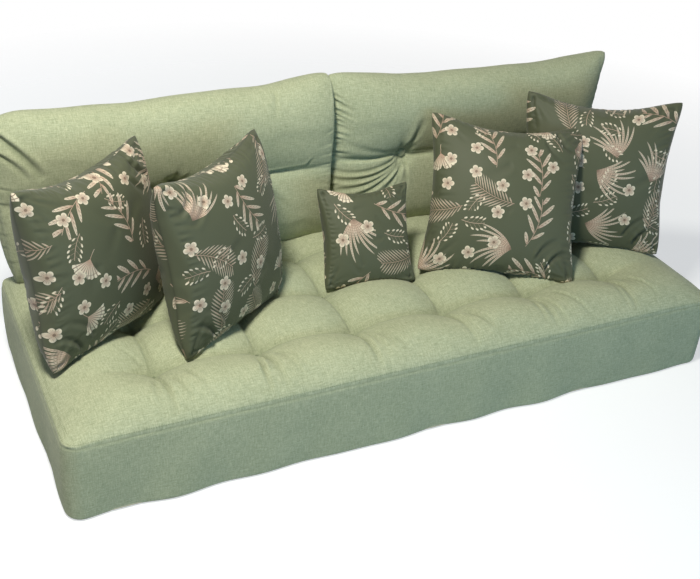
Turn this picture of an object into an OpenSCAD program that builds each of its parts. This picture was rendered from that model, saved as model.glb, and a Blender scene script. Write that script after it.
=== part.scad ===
// Futon cushion set: a boxed and tufted seat mattress, two button-tufted back cushions and five
// throw pillows, each with its cover, filling, twines and zip.
// Lengths are millimetres. The origin is the centre of the seat's underside, +X runs along the
// seat to the right and +Y runs to the back.

/* [Cloth and clearances] */
// Thickness of the cover cloth
cloth_t = 1.5; // [1:0.1:3]
// Clearance between layers that lie on each other
gap = 0.3; // [0.2:0.05:0.6]
// Clearance between a cushion and the seat that it rests on
rest_gap = 0.4; // [0.3:0.1:0.8]

/* [Seat] */
// Length of the seat
seat_l = 1900; // [1700:10:2100]
// Depth of the seat from front to back
seat_d = 800; // [700:10:950]
// Height of the seam round the top
seam_z = 212; // [150:2:260]
// Radius of the upright corners in plan
corner_r = 45; // [40:1:70]
// Radius of the bottom edge
edge_r = 11; // [8:1:22]
// How far the side walls bulge between the seams
side_bulge = 4; // [2:0.5:10]
// Width of the seam allowance that is turned in
seam_allow = 12; // [8:1:14]

/* [Seat tufting] */
// Rise of the padding above the top seam
pad_rise = 26; // [15:1:45]
// Width over which the padding rises from the seam
roll_w = 75; // [50:1:110]
// Number of tufts along the seat
tuft_cols = 6; // [4:1:8]
// Number of tufts from front to back
tuft_rows = 3; // [2:1:4]
// Depth that a tuft pulls the top down
tuft_depth = 17; // [8:1:24]
// Radius of the hollow round a tuft
tuft_r = 48; // [30:1:70]
// Depth of the channels between tufts
channel_depth = 6; // [2:0.5:9]
// Half width of the channels between tufts
channel_w = 26; // [15:1:40]
// Depth of the hollows in the underside
under_depth = 12; // [6:1:16]
// Radius of the hollows in the underside
under_r = 40; // [25:1:55]
// Radius of a tuft's thread knot
knot_r = 4; // [2:0.5:6]
// Radius of the tufting twine
twine_r = 1.2; // [0.6:0.1:1.6]

/* [Seat filling] */
// Thickness of the wadding over the foam, measured at the seam
wadding_t = 16; // [8:1:20]
// How far the foam's lower edge steps in to clear the rounded bottom edge
core_step = 18; // [10:1:24]

/* [Back cushions] */
// Length of a back cushion
back_l = 946; // [800:2:1040]
// Height of a back cushion
back_h = 500; // [400:5:600]
// Thickness of a back cushion
back_t = 148; // [110:2:180]
// Space between the two back cushions
back_space = 4; // [2:1:12]
// Share of the thickness that is left at the ends
end_share = 0.74; // [0.6:0.02:0.9]
// Width over which the ends swell to the full thickness
end_roll = 105; // [60:5:130]
// Depth that a button pulls each face in
button_depth = 26; // [10:1:34]
// Radius of the hollow round a button
button_hollow_r = 62; // [45:1:80]
// Radius of a covered button
button_r = 14; // [9:0.5:16]
// Depth of the crease through the buttons
crease_depth = 6; // [2:0.5:10]
// Half width of the crease through the buttons
crease_w = 30; // [20:1:45]

/* [Throw pillows] */
// Width of a throw pillow
pillow_w = 450; // [380:5:500]
// Height of a throw pillow
pillow_h = 466; // [380:2:500]
// Thickness of a throw pillow
pillow_t = 150; // [100:2:160]
// Width of the small pillow
small_w = 265; // [220:5:320]
// Height of the small pillow
small_h = 285; // [240:5:320]
// Thickness of the small pillow
small_t = 92; // [70:2:105]
// How far the sides of a pillow pull in between its corners
side_draw = 13; // [4:1:20]

/* [Zips] */
// Length of the zip in the seat's rear wall
seat_zip_l = 1200; // [600:10:1300]
// Length of the zip in a back cushion
back_zip_l = 600; // [300:10:640]
// Length of the zip in a throw pillow
pillow_zip_l = 300; // [200:5:310]
// Length of the zip in the small pillow
small_zip_l = 150; // [100:5:180]
// Width of the zip tape that shows
tape_w = 14; // [10:1:18]
// Thickness of the zip tape
tape_t = 1; // [0.6:0.1:1.1]
// Width of the zip chain
chain_w = 5; // [3:0.5:6]
// Height of the zip chain above its tape
chain_t = 1.4; // [1:0.1:2]
// Length of a zip slider
slider_l = 12; // [9:1:16]
// Wall of a zip slider
slider_wall = 1.5; // [1:0.1:2]
// Length of a zip pull
pull_l = 26; // [16:1:34]
// Width of a zip pull
pull_w = 7; // [5:0.5:9]

/* [Hidden] */
$fn = 32;
COVER = [0.60, 0.68, 0.55];
PRINT = [0.31, 0.36, 0.27];
FILL = [0.93, 0.92, 0.88];
THREAD = [0.50, 0.56, 0.42];
ZIP = [0.55, 0.60, 0.48];

// Pillow sizes: width, height, thickness and zip length.
LARGE = [pillow_w, pillow_h, pillow_t, pillow_zip_l];
SMALL = [small_w, small_h, small_t, small_zip_l];

// Each pillow's place: its size, the end it is measured from (-1 left, 0 middle, 1 right), how far
// its foot stands from there and from the back cushions' face, and its turn, lean and roll.
PLACES = [
    [LARGE, -1, 206, 281, 35, 10, 2],
    [LARGE, -1, 529, 326, 35, 12, 1],
    [SMALL, 0, 8, 263, -6, 29, 1],
    [LARGE, 1, 583, 356, -26, 31, 2],
    [LARGE, 1, 226, 298, -34, 13, -2],
];

// Smooth rise from 0 at a seam to 1 at the distance w from it.
function roll(d, w) = d >= w ? 1 : sin(90 * max(d, 0) / w);
// Soft hump of half width w, 1 at its middle.
function hump(d, w) = exp(-pow(d / w, 2));
// Weighted middle of a and b.
function mix(a, b, s) = a + (b - a) * s;
function sum(list) = list * [for (k = list) 1];

// Index of the last grid line at or below q.
function cell_of(lines, q) = min(len(lines) - 2, max(0, len([for (k = lines) if (k <= q) k]) - 1));

// Grid lines from one seam to the other: close together at the seams and at the tufts.
edge_steps = [0, 0.12, 0.42, 0.82];
pad_steps = [0, 0.17, 0.5, 0.83];
function grid_lines(half, count, pitch) = let (last = pitch * (count - 1) / 2)
    concat(
        [for (s = edge_steps) -half + s * (half - last)],
        [for (k = [0:1:count - 2]) for (s = pad_steps) (k + s) * pitch - last],
        [last],
        [for (k = [len(edge_steps) - 1:-1:0]) half - edge_steps[k] * (half - last)]
    );

// Closed sheet or pad between two grids of points with na by nb cells, listed along b first.
// Seen against the front grid's normal, a runs to the right and b runs up.
module quilt(front, rear, na, nb) {
    rows = nb + 1;
    count = (na + 1) * rows;
    function at(i, j) = i * rows + j;
    function split(i, j) = (i < na / 2) == (j < nb / 2)
        ? [[at(i, j), at(i, j + 1), at(i + 1, j + 1)], [at(i, j), at(i + 1, j + 1), at(i + 1, j)]]
        : [[at(i, j), at(i, j + 1), at(i + 1, j)], [at(i + 1, j), at(i, j + 1), at(i + 1, j + 1)]];
    function back(f) = [f[2] + count, f[1] + count, f[0] + count];
    cells = [for (i = [0:na - 1]) for (j = [0:nb - 1]) each split(i, j)];
    function rim(p, q) = [[p, q, q + count], [p, q + count, p + count]];
    polyhedron(concat(front, rear), concat(
        cells,
        [for (f = cells) back(f)],
        [for (i = [0:na - 1]) each rim(at(i, 0), at(i + 1, 0))],
        [for (i = [0:na - 1]) each rim(at(i + 1, nb), at(i, nb))],
        [for (j = [0:nb - 1]) each rim(at(0, j + 1), at(0, j))],
        [for (j = [0:nb - 1]) each rim(at(na, j), at(na, j + 1))]
    ), convexity = 6);
}

// Tube wall between two grids of closed loops: na steps along, nb points round each loop.
module sleeve(outer, inner, na, nb) {
    count = (na + 1) * nb;
    function at(i, j) = i * nb + (j % nb);
    cells = [for (i = [0:na - 1]) for (j = [0:nb - 1])
        each [[at(i, j), at(i, j + 1), at(i + 1, j + 1)], [at(i, j), at(i + 1, j + 1), at(i + 1, j)]]];
    ends = [for (j = [0:nb - 1]) each [
        [at(0, j + 1), at(0, j), at(0, j) + count],
        [at(0, j + 1), at(0, j) + count, at(0, j + 1) + count],
        [at(na, j), at(na, j + 1), at(na, j + 1) + count],
        [at(na, j), at(na, j + 1) + count, at(na, j) + count]]];
    polyhedron(concat(outer, inner), concat(
        cells, [for (f = cells) [f[2] + count, f[1] + count, f[0] + count]], ends
    ), convexity = 6);
}

// Solid inside a grid of closed loops.
module stuffed(outer, na, nb) {
    function at(i, j) = i * nb + (j % nb);
    cells = [for (i = [0:na - 1]) for (j = [0:nb - 1])
        each [[at(i, j), at(i, j + 1), at(i + 1, j + 1)], [at(i, j), at(i + 1, j + 1), at(i + 1, j)]]];
    polyhedron(outer, concat(
        cells,
        [[for (j = [nb - 1:-1:0]) at(0, j)]],
        [[for (j = [0:nb - 1]) at(na, j)]]
    ), convexity = 6);
}

// Block with rounded upright corners, its underside at z = 0.
module rounded_block(l, d, h, r) {
    translate([-l / 2, -d / 2 + r, 0]) cube([l, d - 2 * r, h]);
    translate([-l / 2 + r, -d / 2, 0]) cube([l - 2 * r, d, h]);
    for (sx = [-1, 1]) for (sy = [-1, 1])
        translate([sx * (l / 2 - r), sy * (d / 2 - r), 0]) cylinder(h = h, r = r);
}

// Domed button whose underside rises outwards, so that it seats in a hollow. Its rise, rim and dome
// are shares of its radius.
dish_slope = 0.5;
rim_share = 0.18;
dome_share = 0.3;
module domed_button(r, steps) {
    rim_z = (dish_slope + rim_share) * r;
    rotate_extrude() polygon(concat(
        [[0, 0], [r, dish_slope * r]],
        [for (k = [0:steps]) [r * cos(90 * k / steps), rim_z + dome_share * r * sin(90 * k / steps)]]
    ));
}

// Seat: places of the tufts.
tuft_px = seat_l / (tuft_cols + 1);
tuft_py = seat_d / (tuft_rows + 1);
tuft_xs = [for (k = [0:tuft_cols - 1]) (k - (tuft_cols - 1) / 2) * tuft_px];
tuft_ys = [for (k = [0:tuft_rows - 1]) (k - (tuft_rows - 1) / 2) * tuft_py];
tuft_span_x = tuft_px * (tuft_cols - 1) / 2;
tuft_span_y = tuft_py * (tuft_rows - 1) / 2;

// Seat: the top panel's half sizes and its surface.
top_hx = seat_l / 2 - side_bulge;
top_hy = seat_d / 2 - side_bulge;
top_edge_z = seam_z + gap + cloth_t;
corner_cut = (corner_r - side_bulge) * (1 - sqrt(0.5));
// Distance over which a channel fades past the last tuft.
channel_fade = 90;
function past(q, span) = hump(max(abs(q) - span, 0), channel_fade);
function channels(x, y) = channel_depth * (
    sum([for (ty = tuft_ys) hump(y - ty, channel_w)]) * past(x, tuft_span_x)
    + sum([for (tx = tuft_xs) hump(x - tx, channel_w)]) * past(y, tuft_span_y));
function hollows(x, y) = tuft_depth
    * sum([for (tx = tuft_xs) hump(x - tx, tuft_r)]) * sum([for (ty = tuft_ys) hump(y - ty, tuft_r)]);
function seat_top(x, y) = let (swell = roll(top_hx - abs(x), roll_w) * roll(top_hy - abs(y), roll_w))
    top_edge_z + swell * (pad_rise - channels(x, y) - hollows(x, y));

// Seat: the grid of the top panel.
top_xs = grid_lines(top_hx, tuft_cols, tuft_px);
top_ys = grid_lines(top_hy, tuft_rows, tuft_py);
top_na = len(top_xs) - 1;
top_nb = len(top_ys) - 1;
top_zs = [for (x = top_xs) [for (y = top_ys) seat_top(x, y)]];
function at_corner(i, j) = (i == 0 || i == top_na) && (j == 0 || j == top_nb);
function top_point(i, j, drop) = let (
        cut = at_corner(i, j) ? corner_cut : 0, x = top_xs[i], y = top_ys[j])
    [x - sign(x) * cut, y - sign(y) * cut, top_zs[i][j] - drop];

// Height of the top panel's facets at a point.
function facet_z(x, y) = let (
        i = cell_of(top_xs, x), j = cell_of(top_ys, y),
        a = (x - top_xs[i]) / (top_xs[i + 1] - top_xs[i]),
        b = (y - top_ys[j]) / (top_ys[j + 1] - top_ys[j]),
        z00 = top_zs[i][j], z10 = top_zs[i + 1][j], z01 = top_zs[i][j + 1], z11 = top_zs[i + 1][j + 1],
        rising = (i < top_na / 2) == (j < top_nb / 2))
    rising
        ? (b > a ? z00 + a * (z11 - z01) + b * (z01 - z00) : z00 + a * (z10 - z00) + b * (z11 - z10))
        : (a + b < 1 ? z00 + a * (z10 - z00) + b * (z01 - z00)
            : z11 - (1 - a) * (z11 - z01) - (1 - b) * (z11 - z10));

// Height at which a cushion rests on the seat, from points on its lower side at height 0.
function over_seat(p) = abs(p.x) < top_hx && abs(p.y) < top_hy;
function rest_height(points) =
    max([for (p = points) if (over_seat(p)) facet_z(p.x, p.y) - p.z]) + rest_gap;

module seat_top_panel() {
    color(COVER) quilt(
        [for (i = [0:top_na]) for (j = [0:top_nb]) top_point(i, j, 0)],
        [for (i = [0:top_na]) for (j = [0:top_nb]) top_point(i, j, cloth_t)],
        top_na, top_nb);
}

// Seat: the side wall's section, measured outwards from the outline and up from the floor.
wall_bottom = cloth_t + gap;
wall_steps = 8;
arc_steps = 5;
wall_mid = (seam_z + wall_bottom + edge_r) / 2;
wall_half = (seam_z - wall_bottom - edge_r) / 2;
function wall_section(inward) = concat(
    [[-side_bulge - edge_r - seam_allow, wall_bottom + inward]],
    [for (k = [0:arc_steps]) let (a = -90 + 90 * k / arc_steps, r = edge_r - inward)
        [-side_bulge - edge_r + r * cos(a), wall_bottom + edge_r + r * sin(a)]],
    [for (k = [1:wall_steps]) let (s = -1 + 2 * k / wall_steps)
        [-side_bulge * s * s - inward, min(wall_mid + s * wall_half, seam_z - inward)]],
    [[-side_bulge - seam_allow, seam_z - inward]]
);
module wall_profile(shift) {
    outer = wall_section(0);
    inner = wall_section(cloth_t);
    polygon([for (p = concat(outer, [for (k = [len(inner) - 1:-1:0]) inner[k]])) [p.x + shift, p.y]]);
}
module straight_wall(reach, length) {
    translate([reach, 0, 0]) rotate([90, 0, 0])
        linear_extrude(length, center = true) wall_profile(0);
}
module seat_border() {
    color(COVER) difference() {
        union() {
            for (s = [0, 180]) rotate(s) {
                straight_wall(seat_l / 2, seat_d - 2 * corner_r);
                rotate(90) straight_wall(seat_d / 2, seat_l - 2 * corner_r);
                translate([seat_l / 2 - corner_r, seat_d / 2 - corner_r, 0])
                    rotate_extrude(angle = 90) wall_profile(corner_r);
                translate([-seat_l / 2 + corner_r, seat_d / 2 - corner_r, 0])
                    rotate(90) rotate_extrude(angle = 90) wall_profile(corner_r);
            }
        }
        seat_zip_place() zip_slot(seat_zip_l);
    }
}

// Seat: the underside, with a hollow at each tuft.
module under_hollow(r, depth, thick) {
    rotate_extrude() polygon([[0, depth], [r, 0], [r, thick], [0, depth + thick]]);
}
module at_tufts() {
    for (x = tuft_xs) for (y = tuft_ys) translate([x, y, 0]) children();
}
module seat_bottom_panel() {
    inset = side_bulge + edge_r;
    color(COVER) {
        difference() {
            rounded_block(seat_l - 2 * inset, seat_d - 2 * inset, cloth_t, corner_r - inset);
            at_tufts() translate([0, 0, -1]) cylinder(h = cloth_t + 2, r = under_r);
        }
        at_tufts() under_hollow(under_r, under_depth, cloth_t);
    }
}

// Seat: the foam core, stepped in at its foot and pierced for the twines.
core_top = seam_z - wadding_t;
core_side = side_bulge + cloth_t + 2 * gap;
core_foot_z = cloth_t + edge_r;
core_low = 2 * cloth_t + 2 * gap;
// Growth of the hollows in the core's foot over those in the underside.
core_hollow_growth = 1.2;
module core_block(inset, low, high) {
    translate([0, 0, low])
        rounded_block(seat_l - 2 * inset, seat_d - 2 * inset, high - low, corner_r - inset);
}
module seat_foam_core() {
    hollow_r = under_r * core_hollow_growth;
    color(FILL) difference() {
        union() {
            core_block(core_side, core_foot_z, core_top);
            core_block(core_side + core_step, core_low, core_foot_z + 1);
        }
        at_tufts() {
            translate([0, 0, gap]) rotate_extrude() polygon([
                [0, 0], [hollow_r, 0], [hollow_r, cloth_t],
                [0, cloth_t + under_depth * core_hollow_growth]]);
            cylinder(h = seam_z, r = twine_r + gap);
        }
    }
}

// Seat: the wadding, which follows the top panel's lower side inside the seam allowance.
wadding_inset = seam_allow + 4 * cloth_t + gap;
// Drop of the wadding's corners, where the top panel's corner facets cut low.
wadding_corner_drop = 4;
function inset_lines(lines) = let (n = len(lines) - 1) concat(
    [lines[0] + wadding_inset], [for (k = [1:n - 1]) lines[k]], [lines[n] - wadding_inset]);
module seat_wadding() {
    xs = inset_lines(top_xs);
    ys = inset_lines(top_ys);
    function point(i, j, z) = let (cut = at_corner(i, j) ? corner_cut : 0)
        [xs[i] - sign(xs[i]) * cut, ys[j] - sign(ys[j]) * cut, z];
    function upper_z(i, j) = facet_z(xs[i], ys[j]) - cloth_t - 2 * gap
        - (at_corner(i, j) ? wadding_corner_drop : 0);
    color(FILL) quilt(
        [for (i = [0:top_na]) for (j = [0:top_nb]) point(i, j, upper_z(i, j))],
        [for (i = [0:top_na]) for (j = [0:top_nb]) point(i, j, core_top + gap)],
        top_na, top_nb);
}

// Seat: the thread knots on both sides and the twines between them.
knot_z = seat_top(tuft_xs[0], tuft_ys[0]) + gap;
knot_steps = 3;
module seat_tuft_knots() {
    color(THREAD) at_tufts() {
        translate([0, 0, knot_z]) domed_button(knot_r, knot_steps);
        translate([0, 0, under_depth - gap]) mirror([0, 0, 1]) domed_button(knot_r, knot_steps);
    }
}
module seat_tuft_twines() {
    color(THREAD) at_tufts() translate([0, 0, under_depth])
        cylinder(h = knot_z - under_depth - gap, r = twine_r);
}

// Zips. Each lies along X with its outer face at z = 0 and z pointing out of the cover.
module zip_slot(length) {
    deep = 3 * cloth_t;
    translate([-length / 2 - gap, -tape_w / 2 - gap, -deep])
        cube([length + 2 * gap, tape_w + 2 * gap, 2 * deep]);
}
// Bare tape past each end of the chain.
zip_end = 6;
module zip(length) {
    color(ZIP) {
        translate([-length / 2, -tape_w / 2, -tape_t]) cube([length, tape_w, tape_t]);
        translate([-length / 2 + zip_end, -chain_w / 2, 0])
            cube([length - 2 * zip_end, chain_w, chain_t]);
    }
}
// The slider bridges the chain, close to the zip's left end.
slider_top = chain_t + 2 * gap + slider_wall;
function slider_rest_x(length) = -length / 2 + zip_end;
module slider_body() {
    half = chain_w / 2 + gap + slider_wall;
    difference() {
        translate([0, -half, gap]) cube([slider_l, 2 * half, slider_top - gap]);
        translate([-1, -chain_w / 2 - gap, -1])
            cube([slider_l + 2, chain_w + 2 * gap, chain_t + gap + 1]);
    }
}
// A slider with a bar that carries a swinging pull.
eye_r = 2.4;
eye_hole_r = 1.2;
bar_r = 0.9;
eye_w = 3;
post_t = 1;
post_l = 3 * bar_r;
bar_x = slider_l / 2;
bar_z = slider_top + eye_r + gap;
module zip_slider(length) {
    color(ZIP) translate([slider_rest_x(length), 0, 0]) {
        slider_body();
        for (s = [-1, 1]) translate([bar_x, s * (eye_w / 2 + gap + post_t / 2), 0])
            translate([-post_l / 2, -post_t / 2, slider_top - gap])
                cube([post_l, post_t, bar_z + bar_r - slider_top + 2 * gap]);
        translate([bar_x, 0, bar_z]) rotate([90, 0, 0])
            cylinder(h = eye_w + 2 * gap + post_t, r = bar_r, center = true);
    }
}
// A swinging pull: an eye on the bar, a narrow neck and a plate with a round end and a hole.
module zip_pull(length) {
    neck_l = pull_l / 3;
    color(ZIP) translate([slider_rest_x(length) + bar_x, 0, bar_z]) difference() {
        union() {
            rotate([90, 0, 0]) cylinder(h = eye_w, r = eye_r, center = true);
            translate([0, -eye_w / 2, -tape_t / 2]) cube([neck_l, eye_w, tape_t]);
            translate([neck_l, -pull_w / 2, -tape_t / 2]) cube([pull_l - neck_l, pull_w, tape_t]);
            translate([pull_l, 0, -tape_t / 2]) cylinder(h = tape_t, r = pull_w / 2);
        }
        rotate([90, 0, 0]) cylinder(h = pull_w, r = eye_hole_r, center = true);
        translate([pull_l, 0, -tape_t]) cylinder(h = 2 * tape_t, r = pull_w / 5);
    }
}
// A slider with a fixed drop-shaped pull, for the concealed zip of a pillow.
module drop_slider(length) {
    color(ZIP) translate([slider_rest_x(length), 0, 0]) {
        slider_body();
        translate([slider_l / 2, -eye_w / 2, slider_top - gap]) cube([slider_l / 2, eye_w, tape_t + gap]);
        translate([slider_l, 0, slider_top]) cylinder(h = tape_t, r = pull_w / 2);
    }
}

// Seat zip: in the middle of the rear wall.
module seat_zip_place() {
    translate([0, seat_d / 2, wall_mid]) rotate([90, 0, 180]) children();
}
module seat_zip() { seat_zip_place() zip(seat_zip_l); }
module seat_zip_slider() { seat_zip_place() zip_slider(seat_zip_l); }
module seat_zip_pull() { seat_zip_place() zip_pull(seat_zip_l); }

// Back cushions, each built round the middle of its foot line.
back_px = back_l / 4;
back_button_xs = [-back_px, 0, back_px];
// Grid lines from an end to its button and from button to button, as shares of the way.
back_end_steps = [0, 0.1, 0.38, 0.78];
back_pad_steps = [0, 0.2, 0.5, 0.8];
function back_lines(half) = concat(
    [for (s = back_end_steps) -half + s * (half - back_px)],
    [for (k = [-1, 0]) for (s = back_pad_steps) (k + s) * back_px],
    [back_px],
    [for (k = [len(back_end_steps) - 1:-1:0]) half - back_end_steps[k] * (half - back_px)]);
// Heights round a section, as shares of half the height, up the front and down the rear.
side_levels = [-0.97, -0.86, -0.6, -0.3, 0, 0.3, 0.6, 0.86, 0.97];
loop_levels = concat([[-1, 0]], [for (v = side_levels) [v, -1]], [[1, 0]],
    [for (k = [len(side_levels) - 1:-1:0]) [side_levels[k], 1]]);
back_na = 16;
back_nb = len(loop_levels);
// Powers that shape the section's top and foot: the higher, the squarer.
top_round = 3.2;
foot_round = 5;
function section_share(v) = let (n = v < 0 ? foot_round : top_round) pow(1 - pow(abs(v), n), 1 / n);
function end_swell(x) = mix(end_share, 1, roll(back_l / 2 - abs(x), end_roll));
function back_dimple(x, z) = let (
        pulls = sum([for (bx = back_button_xs) hump(x - bx, button_hollow_r)]),
        edge = roll(back_l / 2 - abs(x), end_roll))
    edge * (button_depth * pulls * hump(z, button_hollow_r)
        + crease_depth * hump(z, crease_w)
        + crease_depth * pulls * hump(z, back_h / 4) / 2);
// Half thickness at a place along the cushion and at a share of its half height.
function back_half(x, v, inward) = let (full = back_t / 2 * end_swell(x) - inward)
    full * section_share(v) - back_dimple(x, v * back_h / 2);
function back_point(x, level, inward) = let (tall = back_h / 2 - inward)
    [x, level[1] * back_half(x, level[0], inward), back_h / 2 + tall * level[0]];
back_xs = back_lines(back_l / 2);
// Loops of points along the cushion, set in from the cover's outside and shortened at both ends.
function back_grid(inward, short) = [for (x = back_xs) for (level = loop_levels)
    back_point(x, level, inward) - [abs(x) < back_l / 2 ? 0 : sign(x) * short, 0, 0]];
back_fill_in = cloth_t + gap;

// Where a back cushion's foot lies, side -1 for the left one and 1 for the right one.
back_y = seat_d / 2 - back_t / 2;
function back_x(side) = side * (back_l + back_space) / 2;
foot_shares = [0, 0.25, 0.5, 0.75, 1];
foot_step = 10;
function back_foot(side) = [for (x = [-back_l / 2 + 1:foot_step:back_l / 2 - 1]) for (k = [-1, 1])
    for (s = foot_shares)
        let (edge = back_point(x, [side_levels[0], k], 0), keel = back_point(x, [-1, 0], 0),
            p = mix(keel, edge, s))
        [p.x + back_x(side), p.y + back_y, p.z]];
back_z = max(rest_height(back_foot(-1)), rest_height(back_foot(1)));
module back_place(side) { translate([back_x(side), back_y, back_z]) children(); }

// Zip in a facet of a rear face, from the facet's lower and upper middle.
module facet_zip_place(low, high) {
    translate((low + high) / 2) rotate([-atan2(high.y - low.y, high.z - low.z), 0, 0])
        rotate([90, 0, 180]) children();
}
module back_zip_place() {
    facet_zip_place(back_point(0, [side_levels[1], 1], 0), back_point(0, [side_levels[2], 1], 0))
        children();
}
module back_wrap(side) {
    color(COVER) back_place(side) difference() {
        sleeve(back_grid(0, 0), back_grid(cloth_t, 0), back_na, back_nb);
        back_zip_place() zip_slot(back_zip_l);
    }
}
module back_ends(side) {
    loop = [for (level = loop_levels) back_point(back_l / 2, level, back_fill_in)];
    color(COVER) back_place(side) for (x = [-back_l / 2, back_l / 2 - cloth_t]) translate([x, 0, 0])
        rotate([90, 0, 90]) linear_extrude(cloth_t) polygon([for (p = loop) [p.y, p.z]]);
}
module back_filling(side) {
    color(FILL) back_place(side)
        stuffed(back_grid(back_fill_in, back_fill_in), back_na, back_nb);
}
module at_back_buttons(side) {
    back_place(side) for (x = back_button_xs) translate([x, 0, back_h / 2]) children();
}
button_steps = 8;
module back_buttons(side) {
    color(COVER) at_back_buttons(side) for (turn = [-90, 90]) rotate([turn, 0, 0])
        translate([0, 0, back_half(0, 0, 0) + gap]) domed_button(button_r, button_steps);
}
module back_twines(side) {
    color(THREAD) at_back_buttons(side) rotate([90, 0, 0])
        cylinder(h = 2 * back_half(0, 0, 0), r = twine_r, center = true);
}
module back_zip(side) { back_place(side) back_zip_place() zip(back_zip_l); }
module back_zip_slider(side) { back_place(side) back_zip_place() zip_slider(back_zip_l); }
module back_zip_pull(side) { back_place(side) back_zip_place() zip_pull(back_zip_l); }

// Throw pillows, each built round the middle of its foot seam, with its front facing -Y.
pillow_cells = 9;
// Grid shares from -1 to 1, closer together near the seams.
function tick(k) = let (t = -1 + 2 * k / pillow_cells) t * (1.5 - 0.5 * t * t);
// Power of the swell from a seam to the middle: the lower, the fuller.
bulge_power = 0.65;
function bulge(q) = pow(1 - min(q * q, 1), bulge_power);
// The rear face is level along the zip and blends into the crown above it.
level_share = -tick(2);
level_fade = 0.6;
function level_bulge(u) = bulge(max(abs(u) - level_share, 0) / (1 - level_share));
function across(u, v, side) = side < 0 ? bulge(u)
    : mix(bulge(u), level_bulge(u), 1 - min(max(v - tick(2), 0) / level_fade, 1));
function pillow_point(size, u, v, side, inward) = let (
        w = size[0] / 2, h = size[1] / 2, seam = gap / 2 + cloth_t,
        half = seam + (size[2] / 2 - seam) * across(u, v, side) * bulge(v))
    [w * u - side_draw * pow(u, 3) * (1 - v * v), side * (half - inward),
        h + h * v - side_draw * pow(max(v, 0), 3) * (1 - u * u)];
function pillow_grid(size, side, inward, first, last, flip) =
    [for (i = [first:last]) for (j = [first:last])
        pillow_point(size, flip * tick(i), tick(j), side, inward)];

// A pillow's turn: rolled in its own plane, leaned back, then turned about the upright.
function rolled(p, a) = [p.x * cos(a) + p.z * sin(a), p.y, p.z * cos(a) - p.x * sin(a)];
function leaned(p, a) = [p.x, p.y * cos(a) + p.z * sin(a), p.z * cos(a) - p.y * sin(a)];
function turned(p, a) = [p.x * cos(a) - p.y * sin(a), p.x * sin(a) + p.y * cos(a), p.z];
function posed(p, place) = turned(leaned(rolled(p, place[6]), place[5]), place[4]);
back_face_y = seat_d / 2 - back_t;
function place_x(place) = place[1] == 0 ? place[2] : place[1] * (seat_l / 2 - place[2]);
function place_y(place) = back_face_y - place[3];
foot_ticks = 90;
foot_cell_shares = [0, 1 / 3, 2 / 3];
function pillow_foot(place) = [for (side = [-1, 1]) for (k = [0:foot_ticks]) for (j = [0:2])
    for (s = foot_cell_shares)
        let (u = -1 + 2 * k / foot_ticks,
            p = mix(pillow_point(place[0], u, tick(j), side, 0),
                pillow_point(place[0], u, tick(j + 1), side, 0), s))
        posed(p, place) + [place_x(place), place_y(place), 0]];
pillow_zs = [for (place = PLACES) rest_height(pillow_foot(place))];
module pillow_place(n) {
    place = PLACES[n];
    translate([place_x(place), place_y(place), pillow_zs[n]])
        rotate(place[4]) rotate([-place[5], 0, 0]) rotate([0, place[6], 0]) children();
}
module pillow_zip_place(size) {
    facet_zip_place(pillow_point(size, 0, tick(1), 1, 0), pillow_point(size, 0, tick(2), 1, 0))
        children();
}
module pillow_front(n) {
    size = PLACES[n][0];
    color(PRINT) pillow_place(n) quilt(
        pillow_grid(size, -1, 0, 0, pillow_cells, 1),
        pillow_grid(size, -1, cloth_t, 0, pillow_cells, 1), pillow_cells, pillow_cells);
}
module pillow_rear(n) {
    size = PLACES[n][0];
    color(PRINT) pillow_place(n) difference() {
        quilt(
            pillow_grid(size, 1, 0, 0, pillow_cells, -1),
            pillow_grid(size, 1, cloth_t, 0, pillow_cells, -1), pillow_cells, pillow_cells);
        pillow_zip_place(size) zip_slot(size[3]);
    }
}
module pillow_insert(n) {
    size = PLACES[n][0];
    inward = cloth_t + gap;
    color(FILL) pillow_place(n) quilt(
        pillow_grid(size, -1, inward, 1, pillow_cells - 1, 1),
        pillow_grid(size, 1, inward, 1, pillow_cells - 1, 1), pillow_cells - 2, pillow_cells - 2);
}
module pillow_zip(n) {
    size = PLACES[n][0];
    pillow_place(n) pillow_zip_place(size) zip(size[3]);
}
module pillow_zip_slider(n) {
    size = PLACES[n][0];
    pillow_place(n) pillow_zip_place(size) drop_slider(size[3]);
}

seat_top_panel();
seat_border();
seat_bottom_panel();
seat_foam_core();
seat_wadding();
seat_tuft_knots();
seat_tuft_twines();
seat_zip();
seat_zip_slider();
seat_zip_pull();
back_wrap(-1);  // left_back_wrap_panel
back_ends(-1);  // left_back_end_panels
back_filling(-1);  // left_back_filling
back_buttons(-1);  // left_back_buttons
back_twines(-1);  // left_back_twines
back_zip(-1);  // left_back_zip
back_zip_slider(-1);  // left_back_zip_slider
back_zip_pull(-1);  // left_back_zip_pull
back_wrap(1);  // right_back_wrap_panel
back_ends(1);  // right_back_end_panels
back_filling(1);  // right_back_filling
back_buttons(1);  // right_back_buttons
back_twines(1);  // right_back_twines
back_zip(1);  // right_back_zip
back_zip_slider(1);  // right_back_zip_slider
back_zip_pull(1);  // right_back_zip_pull
pillow_front(0);  // pillow_1_front_panel
pillow_rear(0);  // pillow_1_rear_panel
pillow_insert(0);  // pillow_1_insert
pillow_zip(0);  // pillow_1_zip
pillow_zip_slider(0);  // pillow_1_zip_slider
pillow_front(1);  // pillow_2_front_panel
pillow_rear(1);  // pillow_2_rear_panel
pillow_insert(1);  // pillow_2_insert
pillow_zip(1);  // pillow_2_zip
pillow_zip_slider(1);  // pillow_2_zip_slider
pillow_front(2);  // pillow_3_front_panel
pillow_rear(2);  // pillow_3_rear_panel
pillow_insert(2);  // pillow_3_insert
pillow_zip(2);  // pillow_3_zip
pillow_zip_slider(2);  // pillow_3_zip_slider
pillow_front(3);  // pillow_4_front_panel
pillow_rear(3);  // pillow_4_rear_panel
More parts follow.
